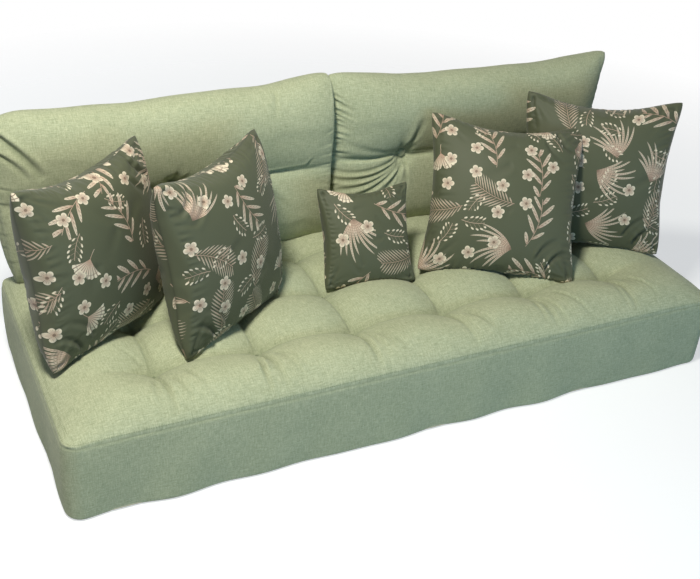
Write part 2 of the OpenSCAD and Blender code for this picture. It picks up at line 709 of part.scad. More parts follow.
pillow_insert(3);  // pillow_4_insert
pillow_zip(3);  // pillow_4_zip
pillow_zip_slider(3);  // pillow_4_zip_slider
pillow_front(4);  // pillow_5_front_panel
pillow_rear(4);  // pillow_5_rear_panel
pillow_insert(4);  // pillow_5_insert
pillow_zip(4);  // pillow_5_zip
pillow_zip_slider(4);  // pillow_5_zip_slider
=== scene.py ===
# %% [markdown]
# # A tufted floor sofa: one long seat cushion, two back cushions and five printed throw pillows
# The construction model gives the places, the sizes and everything that moves. This lesson dresses it
# in cloth. It builds the cushions as closed meshes, lets a cloth simulation swell them, lays stitches
# and zip teeth along their seams, and gives every piece a material made of nodes.

# %% Load the fixed frame
import math

import bmesh
import bpy
import numpy as np
from mathutils import Matrix, Vector
from mathutils.bvhtree import BVHTree
from mathutils.kdtree import KDTree


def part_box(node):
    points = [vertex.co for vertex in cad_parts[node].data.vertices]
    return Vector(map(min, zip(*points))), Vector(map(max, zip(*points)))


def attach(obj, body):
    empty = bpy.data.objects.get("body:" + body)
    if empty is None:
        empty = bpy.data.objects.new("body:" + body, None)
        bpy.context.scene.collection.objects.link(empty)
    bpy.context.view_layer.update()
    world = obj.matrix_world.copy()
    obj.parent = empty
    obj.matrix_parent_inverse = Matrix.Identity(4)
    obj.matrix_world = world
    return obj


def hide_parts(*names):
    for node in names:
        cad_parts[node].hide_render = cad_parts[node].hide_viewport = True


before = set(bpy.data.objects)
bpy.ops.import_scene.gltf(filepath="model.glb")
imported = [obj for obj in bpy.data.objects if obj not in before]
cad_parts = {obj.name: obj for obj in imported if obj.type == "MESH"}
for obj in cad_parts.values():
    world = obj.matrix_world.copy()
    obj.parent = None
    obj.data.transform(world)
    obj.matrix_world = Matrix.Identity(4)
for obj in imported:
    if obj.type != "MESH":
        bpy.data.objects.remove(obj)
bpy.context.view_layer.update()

# %% [markdown]
# ## Camera
# A camera was fitted to the seat's edges, its tufts and the pillows' corners. It stands left of the
# middle, looks down at about 31 degrees and is rolled a little. Its lens is worked out from a focal
# length in pixels, so that the picture keeps the same frame.

# %% Camera
CAMERA_PLACE = (-1.250, -2.302, 1.817)
CAMERA_YAW = 0.481
CAMERA_PITCH = 0.549
CAMERA_ROLL = 0.075
FOCAL_PIXELS = 1074.5
PICTURE_WIDTH = 700
SENSOR_WIDTH = 36.0


def camera_rotation(yaw, pitch, roll):
    """Turn to the right of +Y, then look down, then roll about the line of sight."""
    forward = Vector((math.sin(yaw) * math.cos(pitch), math.cos(yaw) * math.cos(pitch), -math.sin(pitch)))
    level = Vector((math.cos(yaw), -math.sin(yaw), 0.0))
    upright = level.cross(forward)
    right = level * math.cos(roll) + upright * math.sin(roll)
    up = upright * math.cos(roll) - level * math.sin(roll)
    return Matrix((right, up, -forward)).transposed()


camera_data = bpy.data.cameras.new("camera")
camera_data.sensor_width = SENSOR_WIDTH
camera_data.lens = FOCAL_PIXELS * SENSOR_WIDTH / PICTURE_WIDTH
camera_data.clip_end = 100.0
camera = bpy.data.objects.new("camera", camera_data)
camera.matrix_world = (Matrix.Translation(CAMERA_PLACE)
                       @ camera_rotation(CAMERA_YAW, CAMERA_PITCH, CAMERA_ROLL).to_4x4())
bpy.context.scene.collection.objects.link(camera)
bpy.context.scene.camera = camera
bpy.context.scene.view_settings.view_transform = "Standard"
print("Lens in millimetres:", round(camera_data.lens, 2))

# %% [markdown]
# ## Writing shader nodes as formulas
# A print or a weave is a formula of the place on the cloth. Wiring dozens of Math nodes by hand hides
# that formula, so a small class lets Python's own signs (+, *, abs) add the nodes.


# %% Wires
class Wire:
    """A value that runs through a node tree."""

    def __init__(self, tree, socket):
        self.tree = tree
        self.socket = socket

    def math(self, operation, *others, clamp=False):
        made = self.tree.nodes.new("ShaderNodeMath")
        made.operation = operation
        made.use_clamp = clamp
        for socket, value in zip(made.inputs, (self, *others)):
            feed(self.tree, socket, value)
        return Wire(self.tree, made.outputs[0])

    def __add__(self, other):
        return self.math("ADD", other)

    def __sub__(self, other):
        return self.math("SUBTRACT", other)

    def __rsub__(self, number):
        return -self + number

    def __mul__(self, other):
        return self.math("MULTIPLY", other)

    def __truediv__(self, other):
        return self.math("DIVIDE", other)

    def __pow__(self, other):
        return self.math("POWER", other)

    def __abs__(self):
        return self.math("ABSOLUTE")

    def __neg__(self):
        return self.math("MULTIPLY", -1.0)

    def inside(self, softness):
        """1 where the value is positive, 0 where it is negative, with a soft step between."""
        scaled = self.math("DIVIDE", softness)
        return scaled.math("ADD", 0.5, clamp=True)


def feed(tree, socket, value):
    """Links a wire to a socket, or sets the socket to a plain value."""
    if isinstance(value, Wire):
        tree.links.new(value.socket, socket)
    else:
        socket.default_value = value


def feed_all(tree, node, **inputs):
    """Feeds a node's sockets. Keyword names are the sockets' names, with _ for a space."""
    for key, value in inputs.items():
        feed(tree, node.inputs[key.replace("_", " ")], value)


def add_node(tree, kind, settings=None, **inputs):
    made = tree.nodes.new(kind)
    for key, value in (settings or {}).items():
        setattr(made, key, value)
    feed_all(tree, made, **inputs)
    return made


def split(vector):
    made = add_node(vector.tree, "ShaderNodeSeparateXYZ", Vector=vector)
    return [Wire(vector.tree, socket) for socket in made.outputs]


def join(tree, x, y, z=0.0):
    return Wire(tree, add_node(tree, "ShaderNodeCombineXYZ", X=x, Y=y, Z=z).outputs[0])


def noise(vector, scale, detail=2.0):
    made = add_node(vector.tree, "ShaderNodeTexNoise", Vector=vector, Scale=scale, Detail=detail)
    return Wire(vector.tree, made.outputs["Fac"])


def mix_colour(tree, share, first, second):
    made = add_node(tree, "ShaderNodeMix", {"data_type": "RGBA"})
    feed(tree, made.inputs["Factor"], share)
    for name, value in (("A", first), ("B", second)):
        socket = [s for s in made.inputs if s.name == name and s.type == "RGBA"][0]
        feed(tree, socket, value)
    return Wire(tree, [s for s in made.outputs if s.type == "RGBA"][0])


def new_group(name, inputs, outputs):
    """A shader node group with named sockets: returns its tree, its input wires and its end node."""
    tree = bpy.data.node_groups.new(name, "ShaderNodeTree")
    for label, kind, value in inputs:
        socket = tree.interface.new_socket(label, in_out="INPUT", socket_type=kind)
        if value is not None:
            socket.default_value = value
    for label, kind in outputs:
        tree.interface.new_socket(label, in_out="OUTPUT", socket_type=kind)
    start = tree.nodes.new("NodeGroupInput")
    end = tree.nodes.new("NodeGroupOutput")
    wires = {label: Wire(tree, start.outputs[label]) for label, _, _ in inputs}
    return tree, wires, end


def use_group(tree, group, **inputs):
    """Places a group in a tree and returns its outputs by name."""
    made = add_node(tree, "ShaderNodeGroup", {"node_tree": group}, **inputs)
    return {socket.name: Wire(tree, socket) for socket in made.outputs}


VALUE = "NodeSocketFloat"
VECTOR = "NodeSocketVector"
print("Formulas are ready to be written as nodes")

# %% [markdown]
# ## Linen weave
# The sofa's cloth is a coarse plain weave in two tones of sage yarn. Each warp thread goes over one
# weft thread and under the next. The group works out which thread lies on top, gives every thread its
# own tone along its length, as uneven spinning does, and puts out a height for the bump.


# %% Linen weave group
def build_weave_group():
    tree, wires, end = new_group(
        "linen weave",
        [("Vector", VECTOR, None), ("Pitch", VALUE, 0.0015), ("Slub", VALUE, 1.0)],
        [("Tone", VALUE), ("Height", VALUE)])
    x, y, _ = split(wires["Vector"])
    u, v = x / wires["Pitch"], y / wires["Pitch"]
    column, row = u.math("FLOOR"), v.math("FLOOR")
    warp = abs((u * math.pi).math("SINE")) * ((v + column) * math.pi).math("COSINE").math(
        "MULTIPLY_ADD", 0.5, 0.5)
    weft = abs((v * math.pi).math("SINE")) * ((u + row) * math.pi).math("COSINE").math(
        "MULTIPLY_ADD", -0.5, 0.5)
    on_top = (warp - weft).inside(0.2)
    warp_tone = noise(join(tree, column * 0.73, v * 0.045), 1.0, 3.0)
    weft_tone = noise(join(tree, u * 0.045, row * 0.73, 7.0), 1.0, 3.0)
    thread = weft_tone + on_top * (warp_tone - weft_tone)
    across = noise(join(tree, x * 55.0, y * 420.0, 3.0), 1.0, 2.0)
    upright = noise(join(tree, x * 420.0, y * 55.0, 5.0), 1.0, 2.0)
    slub = noise(wires["Vector"], 300.0, 2.0) + across + upright - 1.5
    tone = thread.math("MULTIPLY_ADD", 1.3, -0.15) + slub * wires["Slub"]
    feed_all(tree, end, Tone=tone, Height=warp.math("MAXIMUM", weft))
    return tree


weave_group = build_weave_group()
print("Group made:", weave_group.name)

# %% [markdown]
# ## Sage linen
# The yarns run from a greyer green to a paler, yellower one, and the weave's tone picks between them.
# A slow mottling keeps the long faces from looking printed. The cloth hardly shines, and a little
# sheen lifts it where it turns away. Two marks on the mesh, near a seam and deep in a crease, darken
# it as painted shade.


# %% Sage linen material
LINEN_DARK = (0.300, 0.338, 0.208, 1.0)
LINEN_LIGHT = (0.580, 0.612, 0.410, 1.0)
LINEN_SHADE = (0.120, 0.150, 0.090, 1.0)
LINEN_PITCH = 0.0016
UV_NAME = "cloth"
SEAM_NAME = "seam"
CREASE_NAME = "crease"


def cloth_vector(tree, uv_name):
    """The place on the cloth: a UV map in metres, or the object's own coordinates seen from the front."""
    if uv_name:
        made = add_node(tree, "ShaderNodeUVMap", {"uv_map": uv_name})
        return Wire(tree, made.outputs["UV"])
    x, y, z = split(Wire(tree, add_node(tree, "ShaderNodeTexCoord").outputs["Object"]))
    return join(tree, x, z, y)


def new_material(name):
    material = bpy.data.materials.new(name)
    material.use_nodes = True
    tree = material.node_tree
    return material, tree, tree.nodes["Principled BSDF"]


def add_bump(tree, shader, height, strength, distance):
    bump = add_node(tree, "ShaderNodeBump", Strength=strength, Distance=distance, Height=height)
    tree.links.new(bump.outputs["Normal"], shader.inputs["Normal"])


def read_mark(tree, name):
    return Wire(tree, add_node(tree, "ShaderNodeAttribute", {"attribute_name": name}).outputs["Fac"])


def build_linen(name, uv_name):
    material, tree, shader = new_material(name)
    place = cloth_vector(tree, uv_name)
    weave = use_group(tree, weave_group, Vector=place, Pitch=LINEN_PITCH, Slub=0.9)
    mottle = noise(place, 9.0, 3.0)
    tone = weave["Tone"] + (mottle - 0.5) * 0.35
    cloth = mix_colour(tree, tone, LINEN_DARK, LINEN_LIGHT)
    # Painted shade: the colour is darkened deep in creases and along the seams, where shade falls.
    painted_shade = read_mark(tree, CREASE_NAME) * 0.40 + read_mark(tree, SEAM_NAME).math("POWER", 5.0) * 0.30
    feed_all(tree, shader, Base_Color=mix_colour(tree, painted_shade, cloth, LINEN_SHADE), Roughness=0.92,
             Specular_IOR_Level=0.25, Sheen_Weight=0.12, Sheen_Roughness=0.5)
    add_bump(tree, shader, weave["Height"], 0.5, 0.0005)
    return material


linen = build_linen("sage linen", UV_NAME)
print("Made", linen.name, "with threads every", LINEN_PITCH * 1000, "mm")

# %% [markdown]
# ## A botanical print of its own
# The pillows carry a scattered plant print in cream and dusty pink on olive. The motifs here are a
# ginkgo fan, a leafy sprig, a fern frond, a five-petal blossom and a berry twig, each a formula in the
# motif's own x and y. A lattice drops one motif in each cell, moved and turned by that cell's random
# numbers, so nothing repeats in rows.


# %% Lattice of cells
def build_cells_group():
    tree, wires, end = new_group(
        "print cells",
        [("Vector", VECTOR, None), ("Cell", VALUE, 0.1), ("Jitter", VALUE, 0.2), ("Seed", VALUE, 0.0)],
        [("X", VALUE), ("Y", VALUE), ("Pick", VALUE)])
    x, y, _ = split(wires["Vector"])
    u = x / wires["Cell"]
    column = u.math("FLOOR")
    v = y / wires["Cell"] + column * 0.5
    row = v.math("FLOOR")
    dice = add_node(tree, "ShaderNodeTexWhiteNoise", {"noise_dimensions": "3D"},
                    Vector=join(tree, column, row, wires["Seed"]))
    first, second, third = split(Wire(tree, dice.outputs["Color"]))
    shift = wires["Jitter"] * -1.0
    local_x = (u - column - 0.5 + (first - 0.5) * shift) * wires["Cell"]
    local_y = (v - row - 0.5 + (second - 0.5) * shift) * wires["Cell"]
    turn = third * math.tau
    cosine, sine = turn.math("COSINE"), turn.math("SINE")
    feed_all(tree, end, X=local_x * cosine + local_y * sine, Y=local_y * cosine - local_x * sine,
             Pick=Wire(tree, dice.outputs["Value"]))
    return tree


PRINT_SOFTNESS = 0.0005
MOTIF_PARTS = ("Mask", "Tone", "Ink")
cells_group = build_cells_group()
print("Group made:", cells_group.name)


# %% Motifs drawn round a centre
def new_motif(name, **sizes):
    """A group that takes a place and some sizes, and puts out a mask, a tone and the ink lines."""
    inputs = [(label, VALUE, value) for label, value in {"X": 0.0, "Y": 0.0, **sizes}.items()]
    return new_group(name, inputs, [(part, VALUE) for part in MOTIF_PARTS])


def build_fan_group():
    """A ginkgo fan on a short stem: two lobes, fine ribs that fan out, paler towards the edge."""
    tree, wires, end = new_motif("ginkgo fan", Size=0.05)
    x, size = wires["X"], wires["Size"]
    y = wires["Y"] + size * 0.45
    radius = (x * x + y * y).math("SQRT")
    angle = x.math("ARCTAN2", y)
    share = radius / size
    notch = (abs(angle) * -9.0).math("EXPONENT")
    ripple = (angle * 23.0).math("SINE") * 0.025
    edge = size * (ripple - notch * 0.42 + 1.0)
    half_angle = share * 0.25 + 0.78
    blade = (edge - radius).inside(PRINT_SOFTNESS) * ((half_angle - abs(angle)) * radius).inside(
        PRINT_SOFTNESS)
    stem_line = 0.0007 - abs(x + y * y * 6.0)
    stem = stem_line.inside(PRINT_SOFTNESS) * (y + size * 0.5).inside(PRINT_SOFTNESS) * (-y).inside(
        PRINT_SOFTNESS)
    ribs = abs((angle * 15.0).math("SINE"))
    rim = (0.02 - abs(share - 0.80)).inside(0.02)
    ink = ((0.40 - ribs).inside(0.3) * (share - 0.12).inside(0.15)).math("MAXIMUM", rim * 0.7)
    feed_all(tree, end, Mask=blade.math("MAXIMUM", stem), Ink=ink,
             Tone=share.math("MULTIPLY_ADD", 1.1, 0.0, clamp=True))
    return tree


def build_blossom_group():
    """Five rounded petals round a dark eye, with fine lines that run out along each petal."""
    tree, wires, end = new_motif("blossom", Size=0.02)
    x, y, size = wires["X"], wires["Y"], wires["Size"]
    radius = (x * x + y * y).math("SQRT")
    angle = x.math("ARCTAN2", y)
    petal = abs((angle * 2.5).math("COSINE"))
    edge = size * (petal ** 0.55).math("MULTIPLY_ADD", 0.5, 0.5)
    share = radius / edge
    lines = abs((angle * 12.5).math("COSINE"))
    hatch = (0.45 - lines).inside(0.3) * (0.78 - share).inside(0.2)
    eye = (size * 0.2 - radius).inside(PRINT_SOFTNESS)
    gap = (0.16 - petal).inside(0.12) * (share - 0.3).inside(0.1)
    feed_all(tree, end, Mask=(edge - radius).inside(PRINT_SOFTNESS),
             Tone=share.math("MULTIPLY_ADD", 0.9, 0.1, clamp=True),
             Ink=(hatch * 0.8).math("MAXIMUM", eye).math("MAXIMUM", gap))
    return tree


def build_spray_group():
    """Leaves in pairs along a bent stem. Slim leaves make a fern frond, broad ones a sprig, and leaves
    shrunk to lines with a ball at the tip make a twig with berries."""
    tree, wires, end = new_motif("spray", Length=0.1, Pitch=0.01, Leaf=0.03, Width=0.005, Lean=1.0,
                                 Bend=3.0, Berry=0.0)
    length, pitch = wires["Length"], wires["Pitch"]
    along = wires["X"] + length * 0.5
    side = wires["Y"] - wires["X"] * wires["X"] * wires["Bend"]
    out = abs(side)
    stagger = side.math("SIGN") * pitch * 0.25
    step = (along - out * wires["Lean"] + stagger) / pitch
    index = step.math("FLOOR")
    across = abs((step - index - 0.5) * pitch)
    place = ((index + 0.5) * pitch / length).math("MAXIMUM", 0.0).math("MINIMUM", 1.0)
    swell = (place * (1.0 - place) * 4.0).math("SQRT")
    leaf = wires["Leaf"] * swell
    share = out / leaf.math("MAXIMUM", 0.001)
    body = (share * (1.0 - share)).math("MAXIMUM", 0.0)
    half = wires["Width"] * (body ** 0.6) * 2.0
    in_row = place.math("GREATER_THAN", 0.001) * place.math("LESS_THAN", 0.999)
    blade = (half - across).inside(PRINT_SOFTNESS) * (1.0 - share).inside(0.02) * in_row
    tip = out - leaf
    ball = wires["Berry"] - (across * across + tip * tip).math("SQRT")
    berry = ball.inside(PRINT_SOFTNESS) * in_row
    stem = (0.0006 - out).inside(PRINT_SOFTNESS) * along.inside(PRINT_SOFTNESS) * (
        length - along).inside(PRINT_SOFTNESS)
    rib = (0.0005 - across).inside(0.0005)
    veins = abs(((across - out * 0.6) * 640.0).math("SINE"))
    inner = (half - across - 0.0011).inside(0.0008)
    ink = rib.math("MAXIMUM", (0.5 - veins).inside(0.35) * inner * 0.8)
    feed_all(tree, end, Mask=blade.math("MAXIMUM", stem).math("MAXIMUM", berry), Ink=ink * blade,
             Tone=share.math("MULTIPLY_ADD", 0.8, 0.15, clamp=True))
    return tree


fan_group = build_fan_group()
blossom_group = build_blossom_group()
spray_group = build_spray_group()
print("Motif groups:", fan_group.name, blossom_group.name, spray_group.name)


# %% Long leaves
def build_leaves_group():
    """Nine long curved leaves that spread from one root, each with its own length."""
    tree, wires, end = new_motif("long leaves", Size=0.1)
    x, size = wires["X"], wires["Size"]
    y = wires["Y"] + size * 0.5
    radius = (x * x + y * y).math("SQRT")
    angle = x.math("ARCTAN2", y) + radius / size * 0.45
    step = angle / 0.17
    index = step.math("FLOOR")
    dice = add_node(tree, "ShaderNodeTexWhiteNoise", {"noise_dimensions": "1D"}, W=index + 4.0)
    length = size * Wire(tree, dice.outputs["Value"]).math("MULTIPLY_ADD", 0.45, 0.58)
    across = (step - index - 0.5) * radius * 0.17
    share = (radius / length).math("MINIMUM", 1.0)
    half = size * ((share * (1.0 - share)).math("MAXIMUM", 0.0) ** 0.7) * 0.066
    in_fan = (4.6 - abs(index + 0.5)).math("GREATER_THAN", 0.0)
    blade = (half - abs(across)).inside(PRINT_SOFTNESS) * in_fan * (length - radius).inside(0.002)
    rib = (0.0005 - abs(across)).inside(0.0004)
    bars = abs(((radius - abs(across) * 1.5) * 480.0).math("SINE"))
    inner = (half - abs(across) - 0.0008).inside(0.0006)
    ink = rib.math("MAXIMUM", (0.45 - bars).inside(0.35) * inner * 0.7)
    feed_all(tree, end, Mask=blade, Tone=share.math("MULTIPLY_ADD", 0.8, 0.1, clamp=True), Ink=ink)
    return tree


leaves_group = build_leaves_group()
print("Group made:", leaves_group.name)


# %% The whole print
def choose(pick, options):
    """Adds up motifs, each shown where the cell's random number lies between its two limits."""
    total = {}
    for low, high, motif in options:
        chosen = pick.math("GREATER_THAN", low) * pick.math("LESS_THAN", high)
        for part in MOTIF_PARTS:
            masked = motif[part] * chosen
            total[part] = total[part] + masked if part in total else masked
    return total


def over(upper, lower):
    """Lays one layer of motifs over another."""
    clear = 1.0 - upper["Mask"]
    return {name: upper[name] * (upper["Mask"] if name != "Mask" else 1.0) + lower[name] * clear
            for name in MOTIF_PARTS}


def large_motifs(tree, vector):
    cell = use_group(tree, cells_group, Vector=vector, Cell=0.142, Jitter=0.16, Seed=3.0)
    x, y, pick = cell["X"], cell["Y"], cell["Pick"]
    fan = use_group(tree, fan_group, X=x, Y=y, Size=0.050)
    sprig = use_group(tree, spray_group, X=x, Y=y, Length=0.140, Pitch=0.034, Leaf=0.040, Width=0.0082,
                      Lean=1.1, Bend=2.6)
    frond = use_group(tree, spray_group, X=x, Y=y, Length=0.125, Pitch=0.0095, Leaf=0.038, Width=0.0021,
                      Lean=0.9, Bend=-2.4)
    leaves = use_group(tree, leaves_group, X=x, Y=y, Size=0.125)
    return choose(pick, [(0.0, 0.20, fan), (0.20, 0.48, sprig), (0.48, 0.70, frond), (0.70, 1.0, leaves)])


def little_motifs(tree, vector):
    cell = use_group(tree, cells_group, Vector=vector, Cell=0.074, Jitter=0.30, Seed=11.0)
    x, y, pick = cell["X"], cell["Y"], cell["Pick"]
    blossom = use_group(tree, blossom_group, X=x, Y=y, Size=0.0190)
    twig = use_group(tree, spray_group, X=x, Y=y, Length=0.066, Pitch=0.0125, Leaf=0.017, Width=0.0005,
                     Lean=0.8, Bend=4.0, Berry=0.0034)
    return choose(pick, [(0.0, 0.38, blossom), (0.38, 0.66, twig)])


def build_print_group():
    tree, wires, end = new_group("botanical print", [("Vector", VECTOR, None)],
                                 [(part, VALUE) for part in MOTIF_PARTS])
    feed_all(tree, end, **over(little_motifs(tree, wires["Vector"]), large_motifs(tree, wires["Vector"])))
    return tree


print_group = build_print_group()
print("Group made:", print_group.name)

# %% [markdown]
# ## Printed satin
# The pillows' cloth is finer than the sofa's and has a soft gloss. The print's mask lays the motif
# colours over the olive ground, and the ink lines darken them. Towards the seams and deep in the
# creases the colour is painted darker, as painted shade.

# %% Printed satin material
GROUND_DARK = (0.062, 0.071, 0.038, 1.0)
GROUND_LIGHT = (0.104, 0.114, 0.066, 1.0)
GROUND_SHADE = (0.022, 0.026, 0.015, 1.0)
MOTIF_PINK = (0.520, 0.330, 0.240, 1.0)
MOTIF_CREAM = (0.780, 0.700, 0.540, 1.0)
MOTIF_INK = (0.190, 0.130, 0.090, 1.0)
SATIN_PITCH = 0.0006


def build_satin(name, uv_name):
    material, tree, shader = new_material(name)
    place = cloth_vector(tree, uv_name)
    layer = use_group(tree, print_group, Vector=place)
    weave = use_group(tree, weave_group, Vector=place, Pitch=SATIN_PITCH, Slub=0.2)
    fade = noise(place, 60.0, 3.0)
    motif = mix_colour(tree, layer["Tone"] + (fade - 0.5) * 0.5, MOTIF_PINK, MOTIF_CREAM)
    drawn = mix_colour(tree, layer["Ink"] * 0.9, motif, MOTIF_INK)
    shade = weave["Tone"].math("MULTIPLY_ADD", 0.3, 0.35)
    printed = mix_colour(tree, layer["Mask"], mix_colour(tree, shade, GROUND_DARK, GROUND_LIGHT), drawn)
    # Painted shade: the colour is darkened along the seams and deep in creases, where shade falls.
    painted_shade = read_mark(tree, CREASE_NAME) * 0.45 + read_mark(tree, SEAM_NAME).math("POWER", 4.0) * 0.55
    feed_all(tree, shader, Base_Color=mix_colour(tree, painted_shade, printed, GROUND_SHADE), Roughness=0.55,
             Specular_IOR_Level=0.25, Sheen_Weight=0.1)
    add_bump(tree, shader, weave["Height"], 0.25, 0.0002)
    return material


satin = build_satin("printed satin", UV_NAME)
print("Made", satin.name)

# %% [markdown]
# ## Small finishes
# Thread, zip tape, zip metal and the fillings are seen little or not at all, yet each keeps its own
# look: twisted thread, a twill tape, worn metal, an open foam and a fluffy fibre.


# %% Materials of the small pieces
def build_plain(name, dark, light, roughness, scale, bump, metallic=0.0, stretch=(1.0, 1.0, 1.0)):
    """Two tones mixed by a noise in the object's own coordinates, with a bump of the same noise."""
    material, tree, shader = new_material(name)
    coordinates = Wire(tree, add_node(tree, "ShaderNodeTexCoord").outputs["Object"])
    placed = add_node(tree, "ShaderNodeMapping", Vector=coordinates, Scale=stretch)
    grain = noise(Wire(tree, placed.outputs["Vector"]), scale, 4.0)
    feed_all(tree, shader, Base_Color=mix_colour(tree, grain, dark, light), Roughness=roughness,
             Metallic=metallic)
    add_bump(tree, shader, grain, 0.4, bump)
    return material


thread = build_plain("thread", (0.15, 0.18, 0.11, 1), (0.27, 0.31, 0.19, 1), 0.8, 900.0, 0.0002)
zip_tape = build_plain("zip tape", (0.17, 0.21, 0.14, 1), (0.28, 0.33, 0.23, 1), 0.85, 700.0, 0.0002,
                       stretch=(1.0, 1.0, 3.0))
zip_metal = build_plain("zip metal", (0.42, 0.42, 0.38, 1), (0.62, 0.61, 0.56, 1), 0.38, 160.0, 0.0001,
                        metallic=1.0)
foam = build_plain("foam", (0.62, 0.56, 0.38, 1), (0.80, 0.74, 0.56, 1), 0.95, 420.0, 0.0012)
wadding = build_plain("wadding", (0.72, 0.71, 0.66, 1), (0.86, 0.85, 0.81, 1), 1.0, 120.0, 0.0015)
fibre_fill = build_plain("fibre fill", (0.74, 0.73, 0.70, 1), (0.88, 0.88, 0.85, 1), 1.0, 60.0, 0.002)


def dress(node_name, material):
    """Gives a CAD node a material."""
    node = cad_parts[node_name]
    node.data.materials.clear()
    node.data.materials.append(material)


BACKS = ("left_back", "right_back")
PILLOWS = tuple(f"pillow_{n}" for n in range(1, 6))
dress("seat_foam_core", foam)
dress("seat_tuft_twines", thread)
for cushion in BACKS:
    dress(f"{cushion}_twines", thread)
for cushion in ("seat",) + BACKS + PILLOWS:
    dress(f"{cushion}_zip", zip_tape)
    dress(f"{cushion}_zip_slider", zip_metal)
for cushion in ("seat",) + BACKS:
    dress(f"{cushion}_zip_pull", zip_metal)
print("Dressed the twines, the foam and the zips")

# %% [markdown]
# ## Meshes from sewn panels
# A cover is cut from flat panels and sewn. The meshes follow that: each panel is a grid of points
# with its own UV map in metres, so that weave and print lie on it as on cut cloth, and the panels are
# welded where their edges meet.


# %% Panels and sewing
# Where each panel's UV map starts, in metres, so that no two panels share cloth.
WALL_U, LEFT_END_U, RIGHT_END_U, UNDER_U = 3.0, 4.0, 5.0, 6.0


def panel(points, uv):
    """A grid of points (a, b, 3) with a UV for each (a, b, 2): returns vertices, quads and UVs."""
    a, b = points.shape[:2]
    index = np.arange(a * b).reshape(a, b)
    quads = np.stack([index[:-1, :-1], index[1:, :-1], index[1:, 1:], index[:-1, 1:]], -1).reshape(-1, 4)
    return points.reshape(-1, 3), quads, uv.reshape(-1, 2)


def new_piece(name, mesh):
    piece = bpy.data.objects.new(name, mesh)
    bpy.context.scene.collection.objects.link(piece)
    return piece


def finish(piece, body, cad_nodes=()):
    """Says which body carries a piece, and hides the CAD nodes that it stands for."""
    if cad_nodes:
        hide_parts(*cad_nodes)
    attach(piece, body)


def mark_seams(mesh, seams, reach=0.012):
    """Stores how near each point is to a seam, 1 on it and 0 from the reach outwards."""
    line = np.concatenate(seams)
    tree = KDTree(len(line))
    for k, point in enumerate(line):
        tree.insert(point, k)
    tree.balance()
    near = [max(0.0, 1 - tree.find(v.co)[2] / reach) for v in mesh.vertices]
    mesh.attributes.new(SEAM_NAME, "FLOAT", "POINT").data.foreach_set("value", near)


def sew(name, panels, material, seams=None, closed=True, weld=2e-5):
    """One mesh of several panels, welded along their shared edges."""
    vertices, quads, uvs, start = [], [], [], 0
    for points, faces, uv in panels:
        vertices.append(points)
        quads.append(faces + start)
        uvs.append(uv[faces].reshape(-1, 2))
        start += len(points)
    mesh = bpy.data.meshes.new(name)
    mesh.from_pydata(np.concatenate(vertices).tolist(), [], np.concatenate(quads).tolist())
    layer = mesh.uv_layers.new(name=UV_NAME)
    layer.data.foreach_set("uv", np.concatenate(uvs).astype(np.float32).ravel())
    if closed:
        work = bmesh.new()
        work.from_mesh(mesh)
        bmesh.ops.remove_doubles(work, verts=work.verts, dist=weld)
        bmesh.ops.recalc_face_normals(work, faces=work.faces)
        if work.calc_volume(signed=True) < 0:
            bmesh.ops.reverse_faces(work, faces=work.faces)
        work.to_mesh(mesh)
        work.free()
    if seams:
        mark_seams(mesh, seams)
    mesh.materials.append(material)
    mesh.polygons.foreach_set("use_smooth", np.ones(len(mesh.polygons), bool))
    return new_piece(name, mesh)


def clamp(values):
    return np.clip(values, 0, 1)


def read_points(mesh, kind="co"):
    values = np.empty(len(mesh.vertices) * 3)
    mesh.vertices.foreach_get(kind, values)
    return values.reshape(-1, 3)


def read_normals(mesh):
    return read_points(mesh, "normal")


def write_points(mesh, points):
    mesh.vertices.foreach_set("co", np.asarray(points, np.float32).ravel())
    mesh.update()


def surface_of(piece):
    """A tree of the piece's faces that can be asked for the nearest place."""
    return BVHTree.FromPolygons([v.co[:] for v in piece.data.vertices],
                                [p.vertices[:] for p in piece.data.polygons])


def bake(piece):
    """Replaces a piece's mesh by what its modifiers make of it."""
    bpy.context.view_layer.update()
    depsgraph = bpy.context.evaluated_depsgraph_get()
    mesh = bpy.data.meshes.new_from_object(piece.evaluated_get(depsgraph))
    piece.modifiers.clear()
    old = piece.data
    piece.data = mesh
    bpy.data.meshes.remove(old)


def smooth_finer(piece):
    """Subdivides a piece once and bakes the result."""
    modifier = piece.modifiers.new("finer", "SUBSURF")
    modifier.levels = modifier.render_levels = 1
    bake(piece)


print("Panels can be sewn")

# %% [markdown]
# ## Swelling by cloth simulation
# Wrinkles along a seam come from the cloth having more length than the seam. A simulation finds
# them: the cover starts slack, air pressure pushes it out, and the pinned points hold the seams and
# tufts. A cap on how far a point may move keeps every cushion in its place.


# %% Cloth simulation
SWELL_KEPT = 0.5
SIM_FRAMES = 12
SIM_QUALITY = 5
CLOTH_MASS = 0.3
CLOTH_BENDING = 0.5


